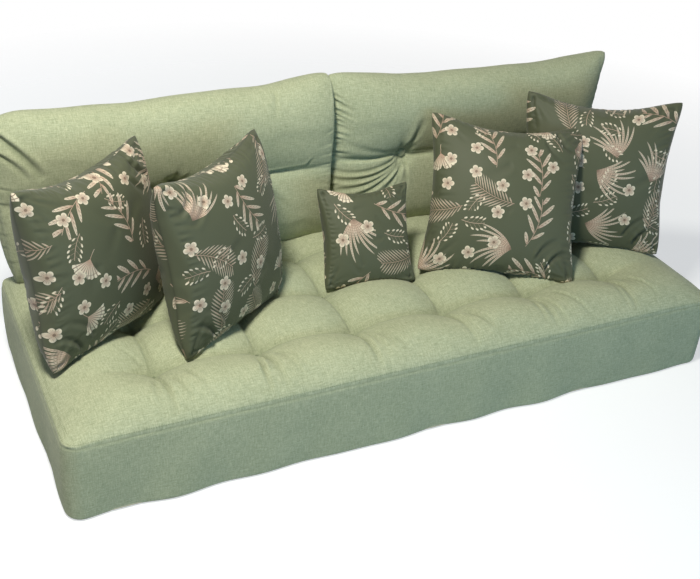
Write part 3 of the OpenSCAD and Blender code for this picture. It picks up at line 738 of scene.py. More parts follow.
def swell(piece, pinned, pressure, stiffness, slack, cap):
    """Inflates a piece and writes the result to its mesh. Slack is the cloth's extra length as a share."""
    start = read_points(piece.data)
    cloth = piece.modifiers.new("cloth", "CLOTH")
    settings = cloth.settings
    if len(pinned):
        group = piece.vertex_groups.new(name="pinned")
        group.add([int(k) for k in pinned], 1.0, "REPLACE")
        settings.vertex_group_mass = group.name
    settings.quality = SIM_QUALITY
    settings.mass = CLOTH_MASS
    settings.tension_stiffness = settings.compression_stiffness = stiffness
    settings.shear_stiffness = 0.4 * stiffness
    settings.bending_stiffness = CLOTH_BENDING
    settings.effector_weights.gravity = 0.0
    settings.use_pressure = True
    settings.uniform_pressure_force = pressure
    settings.shrink_min = -slack
    cloth.collision_settings.use_collision = False
    cloth.point_cache.frame_end = SIM_FRAMES
    for step in range(1, SIM_FRAMES + 1):
        bpy.context.scene.frame_set(step)
    evaluated = piece.evaluated_get(bpy.context.evaluated_depsgraph_get())
    moved = read_points(evaluated.data) - start
    piece.modifiers.clear()
    piece.vertex_groups.clear()
    bpy.context.scene.frame_set(1)
    distance = np.linalg.norm(moved, axis=1, keepdims=True)
    moved *= cap * np.tanh(distance / cap) / np.maximum(distance, 1e-9)
    write_points(piece.data, start + moved)
    print(piece.name, "moved at most", round(float(np.linalg.norm(moved, axis=1).max()) * 1000, 1), "mm")


# %% [markdown]
# ## The seat
# The seat is a boxed mattress: a top panel, a side wall and a bottom panel. Eighteen twines pull the
# top down to tufts, and soft channels run between them. The top is a grid whose lines meet the tufts,
# with its corners rounded by mapping a square to a quarter circle, so that its rim runs on into the
# side wall point by point.

# %% Seat sizes
_, seat_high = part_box("seat_border")
SEAT_HALF_X, SEAT_HALF_Y = seat_high.x, seat_high.y
SEAM_Z = seat_high.z
CORNER_R = 0.045
SIDE_BULGE = 0.004
EDGE_R = 0.011
CORNER_X, CORNER_Y = SEAT_HALF_X - CORNER_R, SEAT_HALF_Y - CORNER_R
TUFT_COLUMNS, TUFT_ROWS = 6, 3
TUFT_PITCH_X = 2 * SEAT_HALF_X / (TUFT_COLUMNS + 1)
TUFT_PITCH_Y = 2 * SEAT_HALF_Y / (TUFT_ROWS + 1)
TUFT_X = (np.arange(TUFT_COLUMNS) - (TUFT_COLUMNS - 1) / 2) * TUFT_PITCH_X
TUFT_Y = (np.arange(TUFT_ROWS) - (TUFT_ROWS - 1) / 2) * TUFT_PITCH_Y
TUFTS = [(a, b) for a in TUFT_X for b in TUFT_Y]
PAD_RISE = 0.059
ROLL_WIDTH = 0.120
END_WIDTH = 0.210
ROW_DIP, COLUMN_DIP = 0.029, 0.032
CHANNEL_FADE = 0.085
UNDER_DEPTH = 0.012
UNDER_R = 0.022
GRID_STEP = 0.0112
RIM_REACH = 0.041
RIM_OFFSETS = np.array([0.0, 0.0025, 0.006, 0.0105, 0.0130, 0.0155, 0.020, 0.027, 0.034]) / RIM_REACH
SEAM_LIFT = 0.0015


def grid_axis(corner, tufts):
    """Grid coordinates along one side: even steps that meet the tufts, then corner shares past 1."""
    stops = [-corner, *tufts, corner]
    lines = [np.linspace(a, b, max(2, round((b - a) / GRID_STEP)) + 1)[:-1]
             for a, b in zip(stops[:-1], stops[1:])]
    middle = np.concatenate(lines + [[corner]])
    shares = 1 - RIM_OFFSETS
    return np.concatenate([-corner - shares, middle, corner + shares[::-1]])


def corner_map(gx, gy, reach):
    """Grid coordinates to places: the part past the corner's centre is a share of the reach, and in a
    corner it is bent to a quarter circle."""
    past_x = clamp(np.abs(gx) - CORNER_X)
    past_y = clamp(np.abs(gy) - CORNER_Y)
    round_x = past_x * np.sqrt(1 - past_y ** 2 / 2)
    round_y = past_y * np.sqrt(1 - past_x ** 2 / 2)
    x = np.sign(gx) * (np.minimum(np.abs(gx), CORNER_X) + round_x * reach)
    y = np.sign(gy) * (np.minimum(np.abs(gy), CORNER_Y) + round_y * reach)
    return x, y


grid_x, grid_y = np.meshgrid(grid_axis(CORNER_X, TUFT_X), grid_axis(CORNER_Y, TUFT_Y), indexing="ij")
print("Seat grid:", grid_x.shape)


# %% Seat top surface
def roll_up(distance, width, fullness=0.62):
    """A round arc that rises steeply from an edge and is level at the width."""
    return (1 - (1 - clamp(distance / width)) ** 2) ** fullness


def hump(distance, width, power=2.0):
    return np.exp(-(np.abs(distance) / width) ** power)


def to_lines(values, lines):
    """The distance to the nearest of several parallel lines."""
    return np.min([np.abs(values - line) for line in lines], axis=0)


def to_spots(x, y, spots):
    """The distance to the nearest of several spots."""
    return np.min([np.hypot(x - a, y - b) for a, b in spots], axis=0)


def from_seat_edge(x, y):
    return np.minimum(SEAT_HALF_X - np.abs(x), SEAT_HALF_Y - np.abs(y))


def waves(run, length, counts, seed):
    """A smooth closed line of random waves, each count being waves round the whole length."""
    dice = np.random.default_rng(seed)
    total = np.zeros_like(run)
    for count in counts:
        total += np.sin(run / length * math.tau * count + dice.uniform(0, math.tau)) * dice.uniform(0.5, 1)
    return total / math.sqrt(len(counts))


def dip(distance, pitch, fullness):
    """A puff's fall from its crown to the line where it meets the next puff: 0 to 1, steep at the line."""
    return 1 - roll_up(distance, pitch / 2, fullness)


def seat_top_z(x, y):
    """The padding's rise from the seam, less the dips at the rows and the columns of tufts. The two add
    up, so the cloth is lowest at a tuft and arches up from one tuft to the next."""
    from_end = CORNER_X + CORNER_R - SIDE_BULGE - np.abs(x)
    from_side = CORNER_Y + CORNER_R - SIDE_BULGE - np.abs(y)
    past_x = hump(np.maximum(np.abs(x) - TUFT_X[-1], 0), CHANNEL_FADE)
    past_y = hump(np.maximum(np.abs(y) - TUFT_Y[-1], 0), CHANNEL_FADE)
    row = ROW_DIP * dip(to_lines(y, TUFT_Y), TUFT_PITCH_Y, 0.60)
    column = COLUMN_DIP * dip(to_lines(x, TUFT_X), TUFT_PITCH_X, 0.80)
    uneven = 0.0016 * waves(x + 0.6 * y, 1.9, (3, 5, 8), 17) * waves(y - 0.3 * x, 1.9, (4, 7), 18)
    swell_share = roll_up(from_end, END_WIDTH) * roll_up(from_side, ROLL_WIDTH)
    return SEAM_Z + SEAM_LIFT + swell_share * (PAD_RISE + uneven - row * past_x - column * past_y)


top_x, top_y = corner_map(grid_x, grid_y, CORNER_R - SIDE_BULGE)
top_points = np.stack([top_x, top_y, seat_top_z(top_x, top_y)], -1)
print("Top runs from", round(top_points[..., 2].min(), 4), "to", round(top_points[..., 2].max(), 4))


# %% Seat side wall and underside
def rim_of(grid):
    """The rim of a grid as one closed line, its first point repeated at the end."""
    return np.concatenate([grid[:-1, 0], grid[-1, :-1], grid[:0:-1, -1], grid[0, :0:-1], grid[:1, 0]])


def set_rim(points, line):
    """Moves a grid's edge points onto a closed line in the order of rim_of."""
    a, b = points.shape[:2]
    points[:-1, 0] = line[:a - 1]
    points[-1, :-1] = line[a - 1:a + b - 2]
    points[:0:-1, -1] = line[a + b - 2:2 * a + b - 3]
    points[0, :0:-1] = line[2 * a + b - 3:-1]


rim_x, rim_y = rim_of(grid_x), rim_of(grid_y)
rim_places = np.stack(corner_map(rim_x, rim_y, CORNER_R), -1)
rim_run = np.concatenate([[0], np.cumsum(np.linalg.norm(np.diff(rim_places, axis=0), axis=1))])
rim_length = rim_run[-1]
WALL_TOP, WALL_FOOT = SEAM_Z - 0.0005, EDGE_R
wall_shares = np.array([0, 0.012, 0.035, 0.07, 0.12, 0.19, 0.27, 0.36, 0.45, 0.54, 0.63, 0.72, 0.80, 0.87,
                        0.93, 0.97, 1.0])
arc_angles = np.radians([18, 36, 54, 72, 90])
wall_wave = 0.0018 * waves(rim_run, rim_length, (9, 14, 22, 27), 6)
pucker_wave = waves(rim_run, rim_length, (97, 131, 173, 211), 5)


def waver(x, y, amount):
    """Lets the lower edge run a little in and out, as a soft edge does on the floor."""
    near_x = clamp((np.abs(x) - 0.80) / 0.12)
    near_y = clamp((np.abs(y) - 0.28) / 0.10)
    shift_x = np.maximum(0.0030 * waves(y, 0.8, (2, 3), 44) + 0.001, -0.002)
    shift_y = np.maximum(0.0055 * waves(x, 1.9, (4, 7, 9), 45) + 0.003, -0.002)
    return x + np.sign(x) * near_x * shift_x * amount, y + np.sign(y) * near_y * shift_y * amount


def wall_panel():
    """Rows from the top seam down the wall and round its lower edge."""
    points, uv = [], []
    for share in wall_shares:
        bulge = -SIDE_BULGE * (1 - 2 * share) ** 2
        valley = -0.0022 * math.exp(-share / 0.012)
        drift = wall_wave * math.sin(math.pi * share) + 0.0007 * math.exp(-share / 0.09) * pucker_wave
        z = WALL_TOP + share * (WALL_FOOT - WALL_TOP)
        x, y = waver(*corner_map(rim_x, rim_y, CORNER_R + bulge + valley + drift), share ** 2)
        points.append(np.stack([x, y, np.full_like(x, z)], -1))
        uv.append(np.stack([rim_run + WALL_U, np.full_like(x, z)], -1))
    for angle in arc_angles:
        offset = -SIDE_BULGE - EDGE_R * (1 - math.cos(angle))
        x, y = waver(*corner_map(rim_x, rim_y, CORNER_R + offset), 1.0)
        z = EDGE_R * (1 - math.sin(angle))
        points.append(np.stack([x, y, np.full_like(x, z)], -1))
        uv.append(np.stack([rim_run + WALL_U, np.full_like(x, z - EDGE_R * angle)], -1))
    return np.stack(points, 1), np.stack(uv, 1)


def under_panel(rim):
    x, y = waver(*corner_map(grid_x, grid_y, CORNER_R - SIDE_BULGE - EDGE_R), 1.0)
    hollow = sum(hump(np.hypot(x - a, y - b), UNDER_R) for a, b in TUFTS)
    points = np.stack([x, y, UNDER_DEPTH * hollow * (hollow > 0.02)], -1)
    set_rim(points, rim)
    return points, np.stack([x + UNDER_U, y], -1)


wall_points, wall_uv = wall_panel()
under_points, under_uv = under_panel(wall_points[:, -1])
set_rim(top_points, wall_points[:, 0])
top_uv = np.stack([top_x, top_y], -1)
print("Wall panel:", wall_points.shape, "rim length in metres:", round(float(rim_length), 3))

# %% [markdown]
# ## Swell the seat's top
# The top alone is simulated, held at its rim and at the tufts. A plain inflation would fill the
# channels, so the movement is kept on the puffs and fades out towards the channels and the rim.


# %% Seat top simulation
def blur_grid(field):
    """Averages every grid value with its neighbours."""
    padded = np.pad(field, ((1, 1), (1, 1), (0, 0)), mode="edge")
    return (padded[:-2, 1:-1] + padded[2:, 1:-1] + padded[1:-1, :-2] + padded[1:-1, 2:] + 2 * field) / 6


def swell_seat_top(points):
    sheet = sew("seat_top_trial", [panel(points, top_uv)], linen, closed=False)
    edge = np.ones(grid_x.shape, bool)
    edge[1:-1, 1:-1] = False
    tuft = to_spots(top_x, top_y, TUFTS) < 0.001
    swell(sheet, np.flatnonzero(edge | tuft), pressure=1.5, stiffness=20, slack=0.02, cap=0.012)
    moved = read_points(sheet.data).reshape(points.shape) - points
    bpy.data.objects.remove(sheet)
    kept = (clamp(from_seat_edge(top_x, top_y) / 0.06) * (1 - hump(to_lines(top_y, TUFT_Y), 0.05))
            * (1 - 0.9 * hump(to_lines(top_x, TUFT_X), 0.04)))
    return points + blur_grid(moved) * (SWELL_KEPT * kept)[..., None]


top_points = swell_seat_top(top_points)
seat = sew("seat_cover", [panel(top_points, top_uv), panel(wall_points, wall_uv),
                          panel(under_points, under_uv)], linen,
           seams=[wall_points[:, 0].reshape(-1, 3)])
print("Seat cover:", len(seat.data.polygons), "faces")

# %% [markdown]
# ## Folds pressed into cloth
# A fold is a valley with a ridge beside it, deep where it leaves a seam or a button and gone at its
# far end. Each is given by two points on the flat cloth. They go on after the mesh is made finer, as
# moves along its normals, so that they stay as sharp as the mesh allows.


# %% Folds
# Where folds cross they stay above the wadding, which lies a little deeper than this.
DEEPEST_FOLD = 0.0095
WADDING_INSET = 0.0115
# The ridge beside a valley: its height as a share of the depth, and its distance in half widths.
RIDGE_SHARE, RIDGE_OFFSET = 0.55, 1.8
# A fold this deep gets the full painted shade.
DARK_DEPTH = 0.006
# The tuft at the front left corner, which has a fan of folds of its own.
FAN_CENTRE = (-0.6786, -0.200)


def fold_depth(a, b, fold):
    """How far a fold moves the cloth at flat places a, b. A fold is start, end, half width and depth,
    and for a swag how far its middle hangs to the side."""
    start, end, width, depth = fold[:4]
    hang = fold[4] if len(fold) > 4 else 0.0
    way_a, way_b = end[0] - start[0], end[1] - start[1]
    length = math.hypot(way_a, way_b)
    way_a, way_b = way_a / length, way_b / length
    along = ((a - start[0]) * way_a + (b - start[1]) * way_b) / length
    across = (b - start[1]) * way_a - (a - start[0]) * way_b
    across = across - hang * 4 * clamp(along) * clamp(1 - along)
    fade = clamp(along / 0.10) * clamp(1 - along) ** (0.45 if hang else 0.9)
    spread = width * (0.75 + 0.7 * clamp(along))
    ridge = RIDGE_SHARE * hump(across - RIDGE_OFFSET * spread, spread)
    return depth * fade * (ridge - hump(across, spread))


def mark_creases(piece, depth):
    """Stores how deep in a crease each point lies, 0 to 1, keeping a deeper mark made before. The
    materials darken the colour by this mark, as painted shade.
    """
    mesh = piece.data
    mark = mesh.attributes.get(CREASE_NAME) or mesh.attributes.new(CREASE_NAME, "FLOAT", "POINT")
    before = np.zeros(len(mesh.vertices), np.float32)
    mark.data.foreach_get("value", before)
    mark.data.foreach_set("value", np.maximum(before, clamp(depth)).astype(np.float32))


def press_folds(piece, where, folds):
    """Moves a piece's points along their normals. where gives each point's flat place and a mask."""
    points, normals = read_points(piece.data), read_normals(piece.data)
    a, b, mask = where(points)
    depth = np.maximum(sum(fold_depth(a, b, fold) for fold in folds), -DEEPEST_FOLD) * mask
    write_points(piece.data, points + normals * depth[:, None])
    mark_creases(piece, -depth / DARK_DEPTH)


def star_folds(centre, count, seed, reach, width, depth, start=0.014):
    """Folds that run out from a tuft or a button at uneven angles."""
    dice = np.random.default_rng(seed)
    folds = []
    for k in range(count):
        angle = (k + dice.uniform(-0.3, 0.3)) / count * math.tau
        far = reach * dice.uniform(0.6, 1.2)
        near, end = [(centre[0] + run * math.cos(angle), centre[1] + run * math.sin(angle))
                     for run in (start, far)]
        folds.append((near, end, width * dice.uniform(0.8, 1.2), depth * dice.uniform(0.6, 1.2)))
    return folds


def seat_folds():
    """Short folds round every tuft, creases down each column, and loose folds on the front roll."""
    folds = []
    for k, tuft in enumerate(TUFTS):
        folds += star_folds(tuft, 7, 300 + k, 0.055, 0.0050, 0.0026, start=0.006)
    dice = np.random.default_rng(77)
    for a in TUFT_X:
        for low, high in ((-0.190, -0.010), (0.010, 0.190)):
            lean = dice.uniform(-0.006, 0.006)
            folds.append(((a, low), (a + lean, high), 0.0055, 0.0050))
            folds.append(((a + lean, high), (a, low), 0.0055, 0.0040))
        folds.append(((a + 0.002, -0.204), (a + dice.uniform(-0.01, 0.02), -0.400), 0.0060, 0.0088))
        for _ in range(5):
            side = dice.uniform(-0.05, 0.12)
            start = (a + 0.5 * side, dice.uniform(-0.26, -0.23))
            end = (a + side, dice.uniform(-0.40, -0.35))
            folds.append((start, end, 0.0047, dice.uniform(0.0034, 0.0066)))
    for k in range(9):
        angle = math.radians(198 - 9 * k)
        start, end = [(FAN_CENTRE[0] + far * math.cos(angle), FAN_CENTRE[1] + far * math.sin(angle))
                      for far in (0.022, 0.12 + 0.012 * (k % 3))]
        folds.append((start, end, 0.0045, 0.0050))
    return folds


def on_seat_top(points):
    a, b, z = points.T
    return a, b, (z > SEAM_Z - 0.012) * clamp((from_seat_edge(a, b) - 0.010) / 0.02)


def mark_tufting(piece):
    """Marks the lines between the tufts, most of all close to a tuft, for painted shade there."""
    a, b, mask = on_seat_top(read_points(piece.data))
    inside = (np.abs(a) < TUFT_X[-1] + 0.03) * (np.abs(b) < TUFT_Y[-1] + 0.03)
    lines = np.maximum(hump(to_lines(b, TUFT_Y), 0.010), hump(to_lines(a, TUFT_X), 0.010)) * inside
    mark_creases(piece, mask * (0.45 * lines + 0.9 * hump(to_spots(a, b, TUFTS), 0.030, 1.2)))


wadding_mesh = seat.data.copy()
smooth_finer(seat)
press_folds(seat, on_seat_top, seat_folds())
mark_tufting(seat)
print("Folds on the seat:", len(seat_folds()))

# %% [markdown]
# ## Zips in the covers
# Each cover closes with a zip on its hidden side. The CAD zip stays where it is, so the cover is
# pressed flat round it. The zip's own frame is found from its vertices: the longest direction is its
# length, the shortest is the way it faces.


# %% Press a cover flat round its zip
ZIP_DEPTH = 0.0013
TAPE_HALF = 0.009


def zip_frame(node_name):
    """The middle of a zip's tape, and its length, width and outward directions."""
    points = read_points(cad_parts[node_name].data)
    middle = (points.max(0) + points.min(0)) / 2
    _, _, axes = np.linalg.svd(points - points.mean(0), full_matrices=False)
    outward = axes[2] if axes[2][1] > 0 else -axes[2]
    along, across = axes[0], np.cross(axes[0], outward)
    spans = [(points - middle) @ axis for axis in (along, across, outward)]
    tape_face = spans[2].min() + 0.001
    origin = middle + outward * tape_face
    return origin, along, across, outward, spans[0].max() - spans[0].min()


def press_round_zip(points, node_name, margin=0.012, past=0.026):
    """Presses the cloth flat round a zip, and past its end as far as the pull swings."""
    origin, along, across, outward, length = zip_frame(node_name)
    p, q, r = [(points - origin) @ axis for axis in (along, across, outward)]
    reach = clamp((margin - np.maximum(np.abs(p) - length / 2 - past, 0)) / margin)
    reach *= clamp((margin - np.maximum(np.abs(q) - TAPE_HALF, 0)) / margin)
    reach = reach * reach * (3 - 2 * reach) * (np.abs(r) < 0.03)
    return points + ((-ZIP_DEPTH - r) * reach)[:, None] * outward


def sink_under_zips(points):
    """Sinks the seat's cloth where the chain of a pillow's zip comes down close to it."""
    for node_name in ("pillow_2_zip", "pillow_5_zip"):
        origin, along, across, outward, length = zip_frame(node_name)
        upwards = across * np.sign(across[2])
        p, q, r = [(points - origin) @ axis for axis in (along, upwards, outward)]
        reach = clamp(1 - np.maximum(np.abs(p) - length / 2, 0) / 0.03)
        reach *= clamp(1 - np.maximum(np.abs(r - 0.002) - 0.008, 0) / 0.02)
        points = points - (np.clip(q + 0.0072, 0, 0.012) * reach)[:, None] * upwards
    return points


write_points(seat.data, sink_under_zips(press_round_zip(read_points(seat.data), "seat_zip")))
seat_surface = surface_of(seat)
print("Seat lowest point:", round(float(read_points(seat.data)[:, 2].min()), 5))


# %% Seat cover and wadding
def add_filling(name, mesh, inset, material, body, cad_node):
    """A filling: a copy of the cover's coarser mesh, set in along its normals."""
    mesh.name = name
    points = read_points(mesh) - inset * read_normals(mesh)
    middle = (points.max(0) + points.min(0)) / 2
    span = (points.max(0) - points.min(0)) / 2
    write_points(mesh, middle + (points - middle) * (1 - inset / span))
    mesh.materials.clear()
    mesh.materials.append(material)
    finish(new_piece(name, mesh), body, [cad_node])


finish(seat, "seat", ["seat_top_panel", "seat_border", "seat_bottom_panel"])
write_points(wadding_mesh, sink_under_zips(read_points(wadding_mesh)))
add_filling("seat_wadding_layer", wadding_mesh, WADDING_INSET, wadding, "seat", "seat_wadding")

# %% [markdown]
# ## Back cushions
# A back cushion is a tube of cloth sewn to an end panel at each end, then pulled in by three pairs of
# buttons. Its section has an upper and a lower lobe that meet at a waist, where the buttons draw the
# cloth in to a crease. Towards the ends the tube gets thinner and the waist fills out. Gathers run in
# from the end seams towards the buttons.

# %% Back cushion shape
BACK_LENGTH, BACK_HEIGHT, BACK_THICK = 0.946, 0.500, 0.148
BACK_FULL = 0.164
UPPER_LOBE, LOWER_LOBE = 0.108, 0.115
WAIST_SHARE, FULL_WAIST = 0.68, 0.93
BACK_LOOP = 176
END_ROWS = 13
BUTTON_X = (-BACK_LENGTH / 4, 0.0, BACK_LENGTH / 4)
BUTTON_SPOTS = [(bx, 0.0) for bx in BUTTON_X]
BUTTON_R = 0.014
BUTTON_HALF = 0.039
# At the left and right end: share of the full thickness, how far in the cushion reaches its full
# thickness, and how far the foot and the side draw in.
BACK_ENDS = {"left_back": (0.40, 0.84), "right_back": (0.20, 0.40)}
END_ROLL = {"left_back": (0.15, 0.12), "right_back": (0.19, 0.12)}
FOOT_DRAW = {"left_back": (0.038, 0.001), "right_back": (0.001, 0.020)}
SIDE_DRAW = {"left_back": (0.012, 0.001), "right_back": (0.001, 0.017)}
# How far the upper outer corner stands out to the right and upwards.
CORNER_EAR = {"left_back": (0.020, -0.014), "right_back": (0.022, 0.008)}
# How far the left and the right end panel bow to the right.
END_BOWS = {"left_back": (-0.012, 0.001), "right_back": (-0.001, 0.012)}
# How far the top edge is above or below the plain height, as pairs of x and rise.
TOP_LINE = {
    "left_back": ((-0.473, 0.0), (-0.42, -0.008), (-0.35, -0.014), (-0.25, -0.019), (0.0, -0.020),
                  (0.15, -0.014), (0.30, -0.010), (0.40, 0.0), (0.45, 0.010), (0.473, 0.012)),
    "right_back": ((-0.473, 0.010), (-0.42, 0.004), (-0.33, -0.008), (-0.24, -0.026), (-0.10, -0.024),
                   (0.10, -0.030), (0.31, -0.030), (0.40, -0.020), (0.473, -0.016))}


def back_stations():
    near = np.array([0, 0.002, 0.005, 0.009, 0.014, 0.020, 0.027, 0.035, 0.044, 0.053, 0.062])
    half = BACK_LENGTH / 2
    middle = np.linspace(-half + 0.0715, half - 0.0715, 89)
    return np.concatenate([-half + near, middle, half - near[::-1]])


def section_depth(height, waist_share=WAIST_SHARE):
    """Share of the half thickness at each share of the half height: an upper and a lower lobe that meet
    at the waist. The upper one ends in a round top, the lower one in a squarer foot."""
    z = height * BACK_HEIGHT / 2
    to_lobe = np.where(z > 0, z / UPPER_LOBE, -z / LOWER_LOBE).clip(0, 1)
    lobe = waist_share + (1 - waist_share) * (1 - (1 - to_lobe) ** 2) ** 0.75
    past_top = ((z - UPPER_LOBE) / (BACK_HEIGHT / 2 - UPPER_LOBE)).clip(0, 1)
    past_foot = ((-z - LOWER_LOBE) / (BACK_HEIGHT / 2 - LOWER_LOBE)).clip(0, 1)
    return lobe * (1 - past_top ** 2.1) ** 0.5 * (1 - past_foot ** 2.8) ** 0.42


def section_loop(count):
    """Shares of the half height and of the half thickness round a section, evenly spaced, from the keel
    up the front and down the rear."""
    turn = np.linspace(0, math.pi, 4001)
    height = -np.cos(turn)
    depth = section_depth(height)
    step = np.hypot(np.diff(height) * BACK_HEIGHT / 2, np.diff(depth) * BACK_THICK / 2)
    run = np.concatenate([[0], np.cumsum(step)])
    even = np.linspace(0, run[-1], count // 2 + 1)
    v, d = np.interp(even, run, height), np.interp(even, run, depth)
    loop_v = np.concatenate([v, v[-2::-1]])
    loop_d = np.concatenate([-d, d[-2::-1]])
    loop_run = np.concatenate([even, 2 * run[-1] - even[-2::-1]])
    return loop_v, loop_d, loop_run


def top_rise(name, x):
    """The rise of the top edge at x, smoothed between the measured places."""
    grid = np.linspace(-0.55, 0.55, 221)
    rough = np.interp(grid, *np.array(TOP_LINE[name]).T)
    kernel = np.hanning(21)
    return np.interp(x, grid, np.convolve(np.pad(rough, 10, "edge"), kernel / kernel.sum(), "valid"))


def waist(x, z):
    """How far the cloth is drawn in along the crease and round the buttons."""
    pull = sum(hump(np.hypot(x - bx, z), 0.080, 1.2) for bx in BUTTON_X)
    near = hump(to_lines(x, BUTTON_X), 0.08)
    return 0.007 * hump(z, 0.012, 1.2) * (0.35 + 0.65 * near) + 0.010 * pull


def sink_to_button(x, z, depth):
    """Lets the cloth go down a round hollow to the foot of each button, with a soft lip."""
    cone = BUTTON_HALF - 0.0008 + 1.05 * np.maximum(to_spots(x, z, BUTTON_SPOTS) - 0.0145, 0)
    return np.minimum(depth, cone) - 0.0015 * hump(depth - cone, 0.004)


def back_surface(name, seed):
    """Points of the tube before it is swollen, with UVs, in the cushion's own frame."""
    loop_v, loop_d, loop_run = section_loop(BACK_LOOP)
    x, v = np.meshgrid(back_stations(), loop_v, indexing="ij")
    depth_share = np.broadcast_to(loop_d, x.shape)
    run = np.broadcast_to(loop_run, x.shape)
    ends = (x + BACK_LENGTH / 2, BACK_LENGTH / 2 - x)
    from_end = np.minimum(*ends)
    thick = np.minimum(*[share + (1 - share) * roll_up(end, roll)
                         for end, share, roll in zip(ends, BACK_ENDS[name], END_ROLL[name])])
    z = v * BACK_HEIGHT / 2
    side_sign = np.sign(depth_share)
    fuller = side_sign * (section_depth(v, FULL_WAIST) - section_depth(v))
    depth_share = depth_share + fuller * (1 - roll_up(from_end, 0.15))
    drawn = waist(x, z) * (0.25 + 0.75 * roll_up(from_end, 0.13)) * np.abs(depth_share) ** 0.6
    pinch = 0.0025 * hump(from_end, 0.004)
    y = side_sign * sink_to_button(x, z, np.abs(depth_share) * (BACK_FULL / 2 * thick - pinch) - drawn)
    crown = 0.005 * roll_up(from_end, 0.12) - 0.003 * hump(from_end, 0.03)
    lift = clamp(v) ** 4 * (crown + 0.0035 * waves(x + 2, BACK_LENGTH, (2, 3, 5), seed))
    lift = lift + clamp(v) ** 2 * top_rise(name, x)
    foot = clamp(-v) ** 1.5
    draw_left, draw_right = [hump(end, 0.09) * (side * (1 - v ** 2) + foot_draw * foot)
                             for end, side, foot_draw in zip(ends, SIDE_DRAW[name], FOOT_DRAW[name])]
    outer = ends[0] if name == "left_back" else ends[1]
    ear = hump(np.hypot(outer, BACK_HEIGHT / 2 - z), 0.060)
    out, up = CORNER_EAR[name]
    along = x + draw_left - draw_right + out * ear
    points = np.stack([along, y, BACK_HEIGHT / 2 + z - pinch * v + lift + up * ear], -1)
    return points, np.stack([x, run], -1)


def end_panel(ring, start_u, bow):
    """Rows across an end, from the front edge to the rear edge at each height, bowed outwards."""
    half = len(ring) // 2
    front, rear = ring[:half + 1], ring[::-1][:half + 1]
    share = (1 - np.cos(np.linspace(0, math.pi, END_ROWS))) / 2
    points = front[:, None] + (rear - front)[:, None] * share[None, :, None]
    height = points[..., 2] / BACK_HEIGHT * 2 - 1
    points[..., 0] += bow * 4 * share * (1 - share) * clamp(1 - height ** 4)
    return points, np.stack([points[..., 1] + start_u, points[..., 2]], -1)


print("A back cushion has", len(back_stations()), "stations of", BACK_LOOP + 1, "points")


# %% Folds of the back cushions
# Long folds on the front: start and end as x and z from the cushion's middle, half width, depth.
BACK_FOLDS = {
    "left_back": [
        ((0.250, 0.003), (0.400, 0.010), 0.0040, 0.0075),
        ((0.392, 0.012), (0.412, 0.040), 0.0040, 0.0050),
        ((-0.474, 0.218), (-0.350, 0.085), 0.0075, 0.0125, 0.012),
        ((-0.470, 0.165), (-0.385, 0.085), 0.0065, 0.0070, 0.008),
        ((0.250, -0.022), (0.360, -0.130), 0.0080, 0.0050),
        ((0.300, 0.235), (0.285, 0.160), 0.0070, 0.0035),
        ((-0.250, -0.020), (-0.420, -0.120), 0.0080, 0.0050)],
    "right_back": [
        ((-0.254, -0.006), (-0.466, -0.030), 0.0050, 0.0080, 0.016),
        ((-0.252, -0.012), (-0.466, -0.058), 0.0055, 0.0095, 0.018),
        ((-0.250, -0.017), (-0.462, -0.092), 0.0055, 0.0080, 0.016),
        ((-0.246, -0.021), (-0.440, -0.128), 0.0055, 0.0085, 0.012),
        ((-0.242, -0.024), (-0.345, -0.140), 0.0060, 0.0075, 0.006),
        ((-0.238, -0.026), (-0.285, -0.120), 0.0055, 0.0065),
        ((-0.230, -0.024), (-0.228, -0.105), 0.0050, 0.0050),
        ((-0.222, -0.004), (-0.085, -0.010), 0.0040, 0.0070),
        ((-0.252, 0.004), (-0.455, 0.010), 0.0060, 0.0065, 0.006),
        ((-0.252, 0.012), (-0.430, 0.062), 0.0080, 0.0040, 0.010),
        ((-0.230, 0.018), (-0.192, 0.120), 0.0085, 0.0075, -0.004),
        ((-0.246, 0.018), (-0.262, 0.095), 0.0080, 0.0030)]}


def seam_gathers(end, seed, low, high, gap, reach, depth):
    """Folds that leave an end seam and lean towards the nearest button."""
    dice = np.random.default_rng(seed)
    folds, z = [], low
    seam_x = end * (BACK_LENGTH / 2 - 0.004)
    while z < high:
        length = reach * dice.uniform(0.45, 1.15)
        far_z = z * (1 - 0.75 * length / 0.236) + dice.uniform(-0.006, 0.006)
        folds.append(((seam_x, z), (seam_x - end * length, far_z), dice.uniform(0.0035, 0.0055),
                      depth * dice.uniform(0.5, 1.25)))
        z += gap * dice.uniform(0.6, 1.4)
    return folds


def front_folds(name, seed):
    folds = list(BACK_FOLDS[name])
    if name == "right_back":
        folds += seam_gathers(-1, seed, 0.030, 0.218, 0.020, 0.070, 0.0068)
        folds += seam_gathers(-1, seed + 5, -0.180, 0.020, 0.024, 0.050, 0.0040)
    else:
        folds += seam_gathers(-1, seed, -0.180, 0.080, 0.045, 0.050, 0.0022)
    folds += seam_gathers(1, seed + 1, -0.170, 0.150, 0.030, 0.055, 0.0022)
    for k, bx in enumerate(BUTTON_X):
        folds += star_folds((bx, 0.0), 9, seed + 2 + k, 0.060, 0.0050, 0.0036)
    return folds


def rear_folds(seed):
    folds = []
    for end, number in ((-1, seed), (1, seed + 1)):
        folds += seam_gathers(end, number, -0.15, 0.17, 0.024, 0.060, 0.0028)
    for k, bx in enumerate(BUTTON_X):
        folds += star_folds((bx, 0.0), 9, seed + 2 + k, 0.080, 0.0055, 0.0042)
    return folds


def on_back_side(place, way):
    """A finder of flat places for press_folds on a cushion's front (way -1) or rear (way 1)."""
    def find(points):
        local = points - place
        depth = clamp((way * local[:, 1] - 0.008) / 0.012)
        ends = clamp((BACK_LENGTH / 2 + 0.004 - np.abs(local[:, 0])) / 0.006)
        return local[:, 0], local[:, 2] - BACK_HEIGHT / 2, depth * ends
    return find


